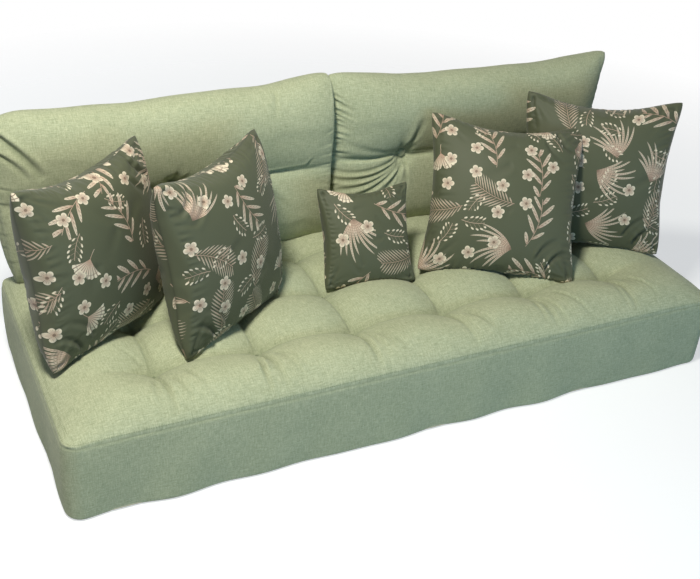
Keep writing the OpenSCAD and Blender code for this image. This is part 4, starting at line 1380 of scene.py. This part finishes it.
print("Folds on the right cushion's front:", len(front_folds("right_back", 38)))


# %% Make the back cushions
# Rays that look for the seat's cloth start above or below the whole seat.
ABOVE, BELOW = 0.4, -0.1
DOWN = Vector((0, 0, -1))


def rest_on_seat(points, clearance=0.0004, reach=0.06):
    """Lifts every point that is below the seat's cloth to just above it."""
    lifted = points.copy()
    for k in np.flatnonzero(points[:, 2] < SEAM_Z + reach):
        hit = seat_surface.ray_cast(Vector((points[k, 0], points[k, 1], ABOVE)), DOWN)[0]
        if hit is not None and points[k, 2] < hit.z + clearance:
            lifted[k, 2] = hit.z + clearance
    return lifted


def swell_back(piece):
    """Swells a back cushion, but keeps its waist and its ends as they are."""
    points = read_points(piece.data)
    from_end = BACK_LENGTH / 2 - np.abs(points[:, 0])
    height = points[:, 2] - BACK_HEIGHT / 2
    to_button = to_spots(points[:, 0], height, BUTTON_SPOTS)
    held = np.flatnonzero((to_button < 0.011) | (from_end < 0.0005) | (points[:, 2] < 0.012))
    swell(piece, held, pressure=1.3, stiffness=20, slack=0.025, cap=0.006)
    kept = SWELL_KEPT * (1 - hump(height, 0.10)) * (1 - hump(to_button, 0.12))
    moved = read_points(piece.data) - points
    write_points(piece.data, points + moved * kept[:, None])


def make_back(name, seed):
    low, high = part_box(f"{name}_wrap_panel")
    place = np.array([(low.x + high.x) / 2, (low.y + high.y) / 2, low.z])
    tube, tube_uv = back_surface(name, seed)
    left_bow, right_bow = END_BOWS[name]
    ends = [end_panel(tube[0], LEFT_END_U, left_bow), end_panel(tube[-1], RIGHT_END_U, right_bow)]
    piece = sew(f"{name}_cover", [panel(tube, tube_uv)] + [panel(*end) for end in ends], linen,
                seams=[tube[0], tube[-1]])
    swell_back(piece)
    filling = piece.data.copy()
    write_points(filling, rest_on_seat(read_points(filling) + place))
    write_points(piece.data, read_points(piece.data) + place)
    smooth_finer(piece)
    press_folds(piece, on_back_side(place, -1), front_folds(name, seed))
    press_folds(piece, on_back_side(place, 1), rear_folds(seed + 50))
    points = press_round_zip(read_points(piece.data), f"{name}_zip")
    write_points(piece.data, rest_on_seat(points))
    finish(piece, name, [f"{name}_wrap_panel", f"{name}_end_panels"])
    add_filling(f"{name}_filling_pad", filling, 0.010, fibre_fill, name, f"{name}_filling")
    return piece


backs = {name: make_back(name, 31 + 7 * k) for k, name in enumerate(BACKS)}
back_surfaces = [surface_of(piece) for piece in backs.values()]

# %% [markdown]
# ## Covered buttons
# The buttons are wrapped in the sofa's linen. A button is a profile turned round its axis, with small
# pleats where the cloth is drawn in behind its rim. Each cushion has three in front and three behind.


# %% Buttons
BUTTON_STEPS = 40
# Radius and height of the button's outline, from its crown to the middle of its underside.
BUTTON_PROFILE = [(0.0, 0.0079), (0.0035, 0.0077), (0.0070, 0.0069), (0.0100, 0.0056), (0.0124, 0.0038),
                  (0.0137, 0.0020), (0.0138, 0.0006), (0.0128, -0.0006), (0.0105, -0.0012),
                  (0.0060, -0.0014), (0.0, -0.0014)]


def make_buttons(name):
    low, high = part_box(f"{name}_buttons")
    middle_x, middle_y, middle_z = (np.array(low) + np.array(high)) / 2
    turn = np.linspace(0, math.tau, BUTTON_STEPS + 1)
    ring, outline = np.meshgrid(turn, np.arange(len(BUTTON_PROFILE)), indexing="ij")
    radius, height = np.array(BUTTON_PROFILE).T[:, outline]
    pleat = 1 + 0.025 * np.sin(ring * 13) * clamp(radius / BUTTON_R) ** 4 * (height < 0.004)
    a, b = radius * pleat * np.cos(ring), radius * pleat * np.sin(ring)
    pieces = []
    for bx in BUTTON_X:
        for way in (-1, 1):
            points = np.stack([a + bx + middle_x, way * (height + BUTTON_HALF + 0.0003) + middle_y,
                               b + middle_z], -1)
            pieces.append(panel(points, np.stack([a + bx, b + way], -1)))
    piece = sew(f"{name}_covered_buttons", pieces, linen)
    smooth_finer(piece)
    finish(piece, name, [f"{name}_buttons"])
    return piece


for cushion in BACKS:
    print("Buttons:", make_buttons(cushion).name)

# %% [markdown]
# ## Throw pillows
# A throw pillow is two square panels sewn together and stuffed. Stuffing shortens the cloth across
# the middle, so the sides draw in, the corners stay out as ears, and short puckers form along the
# seams. The drawn-in shape is given, the simulation loosens it, and the puckers and the folds in the
# corners are pressed on last.

# %% Pillow shape
PILLOW_GRID = 60
PILLOW_SIZE = (0.450, 0.466, 0.150)
SMALL_SIZE = (0.265, 0.285, 0.092)
PILLOW_DRAW = 0.030
SIDE_EASE, FOOT_EASE, TOP_EASE = 0.35, 0.25, 1.10
PILLOW_FULL = 1.13
# The insert's width, depth and height as shares of the cover's, and its gap to the other cushions.
INSERT_SHARE = (0.93, 0.80, 0.93)
INSERT_GAP = 0.006
# Turn about the upright, lean back and roll, in degrees, and where its panels are cut from the print.
PILLOW_POSES = {"pillow_1": (35, 10, 2, (0.31, 0.12)), "pillow_2": (35, 12, 1, (1.47, 0.83)),
                "pillow_3": (-6, 29, 1, (2.26, 1.71)), "pillow_4": (-26, 31, 2, (3.38, 0.42)),
                "pillow_5": (-34, 13, -2, (4.15, 1.29))}
# Corners bent out of the plane: u and v of the corner, and its shifts in y and in x.
PILLOW_EARS = {"pillow_1": ((1, 1, 0.012, 0.004), (-1, 1, -0.008, 0.0), (-1, -1, -0.016, 0.006)),
               "pillow_2": ((-1, 1, -0.018, -0.004), (1, 1, 0.010, 0.004), (-1, -1, -0.010, 0.004)),
               "pillow_3": ((1, 1, -0.014, 0.008), (1, -1, -0.012, 0.010), (-1, -1, -0.010, -0.004)),
               "pillow_4": ((1, 1, 0.020, -0.004), (-1, 1, 0.006, -0.006), (-1, -1, -0.012, -0.006),
                            (1, -1, -0.010, 0.002)),
               "pillow_5": ((-1, 1, -0.010, 0.0), (1, 1, 0.008, 0.008), (1, -1, -0.016, -0.004))}


def pillow_shape(size, full=1.0):
    """Front and rear panels of a stuffed pillow, with the foot seam's middle at the origin. Full is the
    thickness as a share of the CAD pillow's, as the real one bulges a little more. The pillow's weight
    keeps the foot seam straighter than the others."""
    share = np.linspace(-1, 1, PILLOW_GRID + 1)
    share = share * (1.12 - 0.12 * share ** 2)
    u, v = np.meshgrid(share, share, indexing="ij")
    width, height = size[0] / 2, size[1] / 2
    swollen = (1 - u ** 2).clip(0) ** 0.50 * (1 - v ** 2).clip(0) ** 0.50
    draw = PILLOW_DRAW * size[0] / PILLOW_SIZE[0]
    x = width * u - SIDE_EASE * draw * np.sign(u) * np.abs(u) ** 2.5 * (1 - v ** 2) ** 1.2
    ease = np.where(v < 0, FOOT_EASE, TOP_EASE)
    z = height * v - ease * draw * np.sign(v) * np.abs(v) ** 2.5 * (1 - u ** 2) ** 1.2
    y = size[2] * full / 2 * swollen
    rounding = 1 - 0.030 * (u * v) ** 8
    x, z = x * rounding, z * rounding
    flat = np.stack([u * width, v * height], -1)
    return np.stack([x, -y, z + height], -1), np.stack([x, y, z + height], -1), flat


def turn_matrix(yaw, lean, roll):
    return np.array(Matrix.Rotation(math.radians(yaw), 3, "Z") @ Matrix.Rotation(math.radians(-lean), 3, "X")
                    @ Matrix.Rotation(math.radians(roll), 3, "Y"))


def pillow_place(name, size, turn):
    """Where the foot seam's middle goes, so that the plain shape fills the CAD panels' box."""
    front, rear, _ = pillow_shape(size)
    points = np.concatenate([front.reshape(-1, 3), rear.reshape(-1, 3)]) @ turn.T
    corners = [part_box(f"{name}_{part}") for part in ("front_panel", "rear_panel")]
    low = np.min([np.array(c[0]) for c in corners], axis=0)
    high = np.max([np.array(c[1]) for c in corners], axis=0)
    return (low + high) / 2 - (points.min(0) + points.max(0)) / 2


def keep_in_front(points, clearance=0.0005):
    """Moves every point that is inside a back cushion to just in front of it."""
    moved = points.copy()
    for k in np.flatnonzero(points[:, 1] > 0.15):
        place = Vector(points[k])
        for surface in back_surfaces:
            hit, normal, _, distance = surface.find_nearest(place, 0.05)
            if hit is not None and (place - hit).dot(normal) < clearance:
                moved[k] = np.array(hit + normal * clearance)
    return moved


def bend_ears(points, name, size):
    """Bends the corners of a pillow out of its plane."""
    bent = points.copy()
    scale = size[0] / PILLOW_SIZE[0]
    for u, v, out, side in PILLOW_EARS[name]:
        corner_x, corner_z = u * size[0] / 2, (v + 1) * size[1] / 2
        near = hump(np.hypot(points[:, 0] - corner_x, points[:, 2] - corner_z), 0.055 * scale)
        bent[:, 1] += out * near * scale
        bent[:, 0] += side * near * scale
    return bent


# Corners that have flopped over, as u and v, and the creases across them.
FLOPPED = {"pillow_1": ((1, 1), (-1, -1)), "pillow_2": ((-1, 1), (-1, -1)), "pillow_3": ((1, 1),),
           "pillow_4": ((1, 1), (1, -1)), "pillow_5": ((1, -1),)}


def corner_creases(name, size):
    """Two bowed creases across each corner that has flopped over."""
    scale = size[0] / PILLOW_SIZE[0]
    folds = []
    for u, v in FLOPPED[name]:
        for far, near, depth in ((0.090, 0.034, 0.0085), (0.125, 0.060, 0.0050)):
            start, end = [(u * (size[0] / 2 - a * scale), v * (size[1] / 2 - b * scale))
                          for a, b in ((far, near), (near, far))]
            folds.append((start, end, 0.0060 * scale, depth * scale, -0.010 * scale * u * v))
    return folds


def pillow_folds(size, seed):
    """Puckers along the four seams, a fan of folds in each corner and a few loose folds."""
    dice = np.random.default_rng(seed)
    scale = size[0] / PILLOW_SIZE[0]
    fine = scale ** 0.5
    width, height = size[0] / 2, size[1] / 2
    folds = []
    for side in range(4):
        span, reach = (height, width) if side % 2 else (width, height)
        way = 1 if side < 2 else -1
        s = -span + 0.05 * scale
        while s < span - 0.05 * scale:
            drawn = PILLOW_DRAW * (FOOT_EASE if side == 2 else 1.0) * scale * (1 - (s / span) ** 2) ** 1.2
            edge, deep = reach - drawn - 0.004 * scale, dice.uniform(0.018, 0.050) * scale
            far = s * (1 - 0.5 * deep / reach) + dice.uniform(-0.008, 0.008) * scale
            start, end = (s, way * edge), (far, way * (edge - deep))
            if side % 2:
                start, end = start[::-1], end[::-1]
            folds.append((start, end, dice.uniform(0.0035, 0.0055) * fine,
                          dice.uniform(0.0012, 0.0032) * fine))
            s += dice.uniform(0.011, 0.024) * fine
    for u, v in ((-1, -1), (1, -1), (-1, 1), (1, 1)):
        for k in range(5):
            angle = math.radians(45 + 17 * (k - 2) + dice.uniform(-5, 5))
            length = dice.uniform(0.07, 0.13) * scale
            start = (u * (width - 0.016 * scale), v * (height - 0.016 * scale))
            end = (start[0] - u * length * math.cos(angle), start[1] - v * length * math.sin(angle))
            folds.append((start, end, 0.0050 * fine, dice.uniform(0.0020, 0.0050) * fine))
    for _ in range(5):
        middle, angle = dice.uniform(-0.6, 0.6, 2) * (width, height), dice.uniform(0, math.tau)
        way = 0.05 * scale * np.array([math.cos(angle), math.sin(angle)])
        folds.append((tuple(middle - way), tuple(middle + way), 0.014 * scale, dice.uniform(0.001, 0.0025)))
    return folds


def on_pillow_side(turn, place, size, way):
    """A finder of flat places for press_folds on a pillow's front (way -1) or rear (way 1)."""
    def find(points):
        local = (points - place) @ turn
        return local[:, 0], local[:, 2] - size[1] / 2, clamp((way * local[:, 1] - 0.003) / 0.010)
    return find


def make_pillow(name, seed):
    yaw, lean, roll, offset = PILLOW_POSES[name]
    size = SMALL_SIZE if name == "pillow_3" else PILLOW_SIZE
    turn = turn_matrix(yaw, lean, roll)
    place = pillow_place(name, size, turn)
    front, rear, flat = pillow_shape(size, PILLOW_FULL)
    set_rim(rear, rim_of(front))
    piece = sew(f"{name}_cover", [panel(front, flat + offset), panel(rear, flat * (-1, 1) + offset + 0.9)],
                satin, seams=[rim_of(front)])
    swell(piece, [], pressure=2.0, stiffness=15, slack=0.03, cap=0.008)
    shape = bend_ears(read_points(piece.data), name, size)
    middle = np.array([0, 0, size[1] / 2])
    filling = piece.data.copy()
    inner = middle + (shape - middle) * INSERT_SHARE
    write_points(filling, keep_in_front(rest_on_seat(inner @ turn.T + place, INSERT_GAP), INSERT_GAP))
    write_points(piece.data, keep_in_front(rest_on_seat(shape @ turn.T + place)))
    smooth_finer(piece)
    front_creases = pillow_folds(size, seed) + corner_creases(name, size)
    press_folds(piece, on_pillow_side(turn, place, size, -1), front_creases)
    press_folds(piece, on_pillow_side(turn, place, size, 1), pillow_folds(size, seed + 20))
    points = press_round_zip(read_points(piece.data), f"{name}_zip", margin=0.010, past=0.0)
    write_points(piece.data, rest_on_seat(points))
    finish(piece, name, [f"{name}_front_panel", f"{name}_rear_panel"])
    add_filling(f"{name}_insert_pad", filling, 0.0, fibre_fill, name, f"{name}_insert")
    print(name, "measures", (points.max(0) - points.min(0)).round(3))
    return piece


pillows = {name: make_pillow(name, 51 + k) for k, name in enumerate(PILLOWS)}

# %% [markdown]
# ## Stitches and zip teeth by Geometry Nodes
# A seam has hundreds of equal stitches and a zip has hundreds of equal teeth. One node tree lays a
# small shape at even steps along a line, turns it to follow the line and to face away from the cloth,
# and makes real geometry of it. The lines are given. The shape, its size and the step are the
# tree's inputs.


# %% Tree that repeats a shape along a line
GEOMETRY = "NodeSocketGeometry"


def build_repeat_tree(name, unit_kind, **unit_inputs):
    """Returns the tree and the identifiers of its inputs by name."""
    tree = bpy.data.node_groups.new(name, "GeometryNodeTree")
    sockets = {}
    for label, kind in (("Lines", GEOMETRY), ("Step", VALUE), ("Size", VECTOR), ("Facing", VECTOR),
                        ("Material", "NodeSocketMaterial")):
        sockets[label] = tree.interface.new_socket(label, in_out="INPUT", socket_type=kind).identifier
    tree.interface.new_socket("Pieces", in_out="OUTPUT", socket_type=GEOMETRY)
    start, end = add_node(tree, "NodeGroupInput"), add_node(tree, "NodeGroupOutput")
    curve = add_node(tree, "GeometryNodeMeshToCurve")
    resample = add_node(tree, "GeometryNodeResampleCurve", {"mode": "LENGTH"})
    tangent = add_node(tree, "GeometryNodeInputTangent")
    follow = add_node(tree, "FunctionNodeAlignRotationToVector", {"axis": "X"})
    face = add_node(tree, "FunctionNodeAlignRotationToVector", {"axis": "Z", "pivot_axis": "X"})
    unit = add_node(tree, unit_kind, **unit_inputs)
    place = add_node(tree, "GeometryNodeInstanceOnPoints")
    real = add_node(tree, "GeometryNodeRealizeInstances")
    paint = add_node(tree, "GeometryNodeSetMaterial")
    for source, output, target, socket in (
            (start, "Lines", curve, "Mesh"), (curve, "Curve", resample, "Curve"),
            (start, "Step", resample, "Length"), (resample, "Curve", place, "Points"),
            (tangent, "Tangent", follow, "Vector"), (follow, "Rotation", face, "Rotation"),
            (start, "Facing", face, "Vector"), (face, "Rotation", place, "Rotation"),
            (unit, "Mesh", place, "Instance"), (start, "Size", place, "Scale"),
            (place, "Instances", real, "Geometry"), (real, "Geometry", paint, "Geometry"),
            (start, "Material", paint, "Material"), (paint, "Geometry", end, "Pieces")):
        tree.links.new(source.outputs[output], target.inputs[socket])
    return tree, sockets


stitch_tree = build_repeat_tree("stitches", "GeometryNodeMeshUVSphere", Segments=6, Rings=5, Radius=0.5)
teeth_tree = build_repeat_tree("zip teeth", "GeometryNodeMeshCube")
print("Trees:", stitch_tree[0].name, teeth_tree[0].name)


# %% Repeat a shape along lines
def repeat_along(name, lines, tree_and_sockets, step, size, facing, material, body):
    """Makes one piece of equal shapes along the lines, each line being a list of points."""
    points, edges = [], []
    for line in lines:
        first = len(points)
        points += [tuple(p) for p in line]
        edges += [(first + k, first + k + 1) for k in range(len(line) - 1)]
    mesh = bpy.data.meshes.new(name)
    mesh.from_pydata(points, edges, [])
    piece = new_piece(name, mesh)
    tree, sockets = tree_and_sockets
    modifier = piece.modifiers.new("repeat", "NODES")
    modifier.node_group = tree
    for label, value in (("Step", step), ("Size", size), ("Facing", facing), ("Material", material)):
        modifier[sockets[label]] = value
    bake(piece)
    piece.data.polygons.foreach_set("use_smooth", np.ones(len(piece.data.polygons), bool))
    finish(piece, body)
    return piece


def lay_on(surface, points, lift):
    """Moves each point to the nearest place on a surface, then out by the lift."""
    laid = []
    for point in points:
        hit, normal, _, _ = surface.find_nearest(Vector(point))
        laid.append(hit + normal * lift)
    return laid


# %% Topstitching of the seat
THREAD_LIFT = 0.0003


def stitched_rim(inset, z):
    x, y = corner_map(rim_x, rim_y, CORNER_R - SIDE_BULGE - inset)
    return np.stack([x, y, np.full_like(x, z)], -1)


def stitched_end(way, inset):
    y = np.linspace(-SEAT_HALF_Y + 0.05, SEAT_HALF_Y - 0.05, 90)
    return np.stack([np.full_like(y, way * (SEAT_HALF_X - inset)), y, np.full_like(y, SEAM_Z + 0.02)], -1)


seat_lines = [stitched_rim(0.0055, SEAM_Z + 0.01)]
seat_lines += [stitched_end(way, inset) for way in (-1, 1) for inset in (0.0185, 0.0225)]
seat_lines = [lay_on(seat_surface, line, THREAD_LIFT) for line in seat_lines]
topstitch = repeat_along("seat_topstitching", seat_lines, stitch_tree, 0.0058, (0.0042, 0.0011, 0.0009),
                         (0.0, 0.0, 1.0), thread, "seat")
print("Topstitching:", len(topstitch.data.polygons), "faces")


# %% Zip teeth and the stitches beside each zip
TOOTH_STEP, TOOTH_SIZE = 0.0019, (0.0011, 0.0054, 0.0010)
STITCH_STEP, STITCH_SIZE, STITCH_AT = 0.0050, (0.0036, 0.0010, 0.0008), 0.0105


def dress_zip(cushion, surface):
    """Lays a zip's teeth along its chain and a line of stitches on the cloth at each side of it."""
    origin, along, across, outward, length = zip_frame(f"{cushion}_zip")
    half = length / 2 - 0.006
    chain = [origin + along * s + outward * 0.0011 for s in (-half, half)]
    repeat_along(f"{cushion}_zip_teeth", [chain], teeth_tree, TOOTH_STEP, TOOTH_SIZE,
                 tuple(outward), zip_metal, cushion)
    run = np.linspace(-length / 2 - 0.004, length / 2 + 0.004, max(12, int(length / 0.02)))
    lines = [lay_on(surface, [origin + along * s + across * way * STITCH_AT for s in run], 0.0002)
             for way in (-1, 1)]
    repeat_along(f"{cushion}_zip_stitches", lines, stitch_tree, STITCH_STEP, STITCH_SIZE,
                 tuple(outward), thread, cushion)


dress_zip("seat", seat_surface)
for cushion, piece in list(backs.items()) + list(pillows.items()):
    dress_zip(cushion, surface_of(piece))
print("Dressed", 1 + len(backs) + len(pillows), "zips")

# %% [markdown]
# ## Tuft threads
# No button shows on the seat. Each tuft is a few turns of thread pulled hard into the cloth, above and
# below. A strand is a small tube along an arc, and four strands cross at each tuft.


# %% Tuft threads
STRAND_HALF, STRAND_R = 0.0058, 0.0008


def strand(path, radius, sides=7):
    """A tube along a path, as a panel."""
    path = np.array(path, float)
    tangent = np.gradient(path, axis=0)
    tangent /= np.linalg.norm(tangent, axis=1, keepdims=True)
    first = np.cross(tangent, (0.0, 0.0, 1.0))
    first /= np.maximum(np.linalg.norm(first, axis=1, keepdims=True), 1e-9)
    second = np.cross(tangent, first)
    turn = np.linspace(0, math.tau, sides + 1)
    ends = np.ones(len(path))
    ends[0] = ends[-1] = 0.02
    ring = (np.cos(turn)[None, :, None] * first[:, None] + np.sin(turn)[None, :, None] * second[:, None])
    points = path[:, None] + ring * (radius * ends)[:, None, None]
    run = np.concatenate([[0], np.cumsum(np.linalg.norm(np.diff(path, axis=0), axis=1))])
    uv = np.stack(np.broadcast_arrays(run[:, None], turn[None, :] * radius), -1)
    return panel(points, uv)


def tuft_strands():
    """Four crossing strands above and four below each tuft, laid on the cloth."""
    strands = []
    share = np.linspace(-1, 1, 9)
    for k, (a, b) in enumerate(TUFTS):
        top = seat_surface.ray_cast(Vector((a, b, ABOVE)), DOWN)[0].z
        low = seat_surface.ray_cast(Vector((a, b, BELOW)), -DOWN)[0].z
        for level, way in ((top, 1), (low, -1)):
            for j in range(4):
                angle = math.radians(45 * j + 17 * k)
                along, beside = STRAND_HALF * share, 0.0006 * (j - 1.5)
                x = a + along * math.cos(angle) + beside * math.sin(angle)
                y = b + along * math.sin(angle) - beside * math.cos(angle)
                arch = 0.0013 * (1 - share ** 2) + 0.0002 * j
                strands.append(strand(np.stack([x, y, level + way * (arch + THREAD_LIFT)], -1), STRAND_R))
    return strands


knots = sew("seat_tuft_threads", tuft_strands(), thread, weld=1e-7)
finish(knots, "seat", ["seat_tuft_knots"])
print("Tuft threads:", len(knots.data.polygons), "faces")

# %% [markdown]
# ## Foam core
# Inside the seat lies one block of foam with rounded edges. It is seen only when the cover is opened,
# but it has to be there: it gives the sofa its straight walls. It is a cube in bmesh, stretched to
# the CAD block's box and bevelled.


# %% Foam core
FOAM_CORNER, FOAM_EDGE = 0.039, 0.004


def make_foam():
    low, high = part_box("seat_foam_core")
    size, middle = high - low, (high + low) / 2
    work = bmesh.new()
    bmesh.ops.create_cube(work, size=1.0)
    bmesh.ops.scale(work, vec=size, verts=work.verts)
    bmesh.ops.translate(work, vec=middle, verts=work.verts)
    upright = [e for e in work.edges if abs(e.verts[0].co.z - e.verts[1].co.z) > 0.05]
    bmesh.ops.bevel(work, geom=upright, offset=FOAM_CORNER, segments=8, affect="EDGES", profile=0.5)
    level = [e for e in work.edges if abs(e.verts[0].co.z - e.verts[1].co.z) < 1e-6
             and abs(e.calc_face_angle(0.0)) > 1.0]
    bmesh.ops.bevel(work, geom=level, offset=FOAM_EDGE, segments=3, affect="EDGES", profile=0.5)
    mesh = bpy.data.meshes.new("seat_foam_block")
    work.to_mesh(mesh)
    work.free()
    mesh.materials.append(foam)
    piece = new_piece("seat_foam_block", mesh)
    finish(piece, "seat", ["seat_foam_core"])
    return piece


print("Foam core:", len(make_foam().data.polygons), "faces")

# %% [markdown]
# ## Floor and light
# The cushions stand on a white floor in studio light. A warm lamp hangs high at the left of the front
# and models the puffs and the folds. A wide, cool one stands low in front, so the front faces turn a
# little bluer, as they do in daylight. A weaker one lights the rear. The world is dim for light and
# white for the camera.


# %% Floor
FLOOR_RADIUS, FLOOR_SIDES = 9, 96
FADE_FROM, FADE_OVER = 1.5, 1.6
WHITE = (1.0, 1.0, 1.0, 1.0)


def seen_by_camera(tree, *more_rays):
    """1 for rays from the camera and for reflections, and for other rays that are named."""
    path = add_node(tree, "ShaderNodeLightPath").outputs
    seen = Wire(tree, path["Is Camera Ray"])
    for ray in ("Is Glossy Ray", *more_rays):
        seen = seen.math("MAXIMUM", Wire(tree, path[ray]))
    return seen


def make_floor():
    """A white disc that fades out, so that the white world takes over behind it."""
    turn = np.linspace(0, math.tau, FLOOR_SIDES, endpoint=False)
    mesh = bpy.data.meshes.new("floor")
    mesh.from_pydata([(FLOOR_RADIUS * math.cos(a), FLOOR_RADIUS * math.sin(a), 0.0) for a in turn], [],
                     [tuple(range(FLOOR_SIDES))])
    material, tree, shader = new_material("floor white")
    place = Wire(tree, add_node(tree, "ShaderNodeTexCoord").outputs["Object"])
    cloud = noise(place, 0.6, 2.0)
    feed_all(tree, shader, Roughness=1.0, Specular_IOR_Level=0.0, Emission_Color=WHITE,
             Base_Color=mix_colour(tree, cloud, (0.48, 0.50, 0.52, 1.0), (0.52, 0.54, 0.56, 1.0)),
             Emission_Strength=seen_by_camera(tree) * 0.58)
    x, y, _ = split(place)
    far = (x * x + y * y).math("SQRT")
    clear = add_node(tree, "ShaderNodeBsdfTransparent")
    blend = tree.nodes.new("ShaderNodeMixShader")
    feed(tree, blend.inputs[0], (far - FADE_FROM).math("DIVIDE", FADE_OVER, clamp=True))
    tree.links.new(shader.outputs[0], blend.inputs[1])
    tree.links.new(clear.outputs[0], blend.inputs[2])
    tree.links.new(blend.outputs[0], tree.nodes["Material Output"].inputs["Surface"])
    mesh.materials.append(material)
    floor = new_piece("floor", mesh)
    return floor


floor = make_floor()


# %% Lamps and world
def add_area_lamp(name, place, target, size, power, colour):
    lamp = bpy.data.lights.new(name, "AREA")
    lamp.shape = "RECTANGLE"
    lamp.size, lamp.size_y = size
    lamp.energy = power
    lamp.color = colour
    holder = bpy.data.objects.new(name, lamp)
    aim = Vector(target) - Vector(place)
    holder.rotation_euler = aim.to_track_quat("-Z", "Y").to_euler()
    holder.location = place
    bpy.context.scene.collection.objects.link(holder)


add_area_lamp("overhead lamp", (-1.10, -0.88, 2.70), (0.0, 0.0, 0.2), (0.4, 0.4), 73, (1.0, 0.965, 0.86))
add_area_lamp("front lamp", (0.6, -3.2, 0.7), (0.0, 0.0, 0.15), (3.0, 0.8), 25, (0.32, 0.67, 1.0))
add_area_lamp("rear lamp", (-0.8, 3.0, 1.3), (0.0, 0.3, 0.3), (2.5, 1.0), 11, (0.82, 0.92, 1.0))


def build_world():
    world = bpy.data.worlds.new("pale room")
    world.use_nodes = True
    tree = world.node_tree
    seen = seen_by_camera(tree, "Is Transmission Ray")
    feed_all(tree, tree.nodes["Background"], Color=mix_colour(tree, seen, (0.74, 0.90, 1.0, 1.0), WHITE),
             Strength=seen * 0.87 + 0.13)
    bpy.context.scene.world = world
    return world


print("World:", build_world().name)
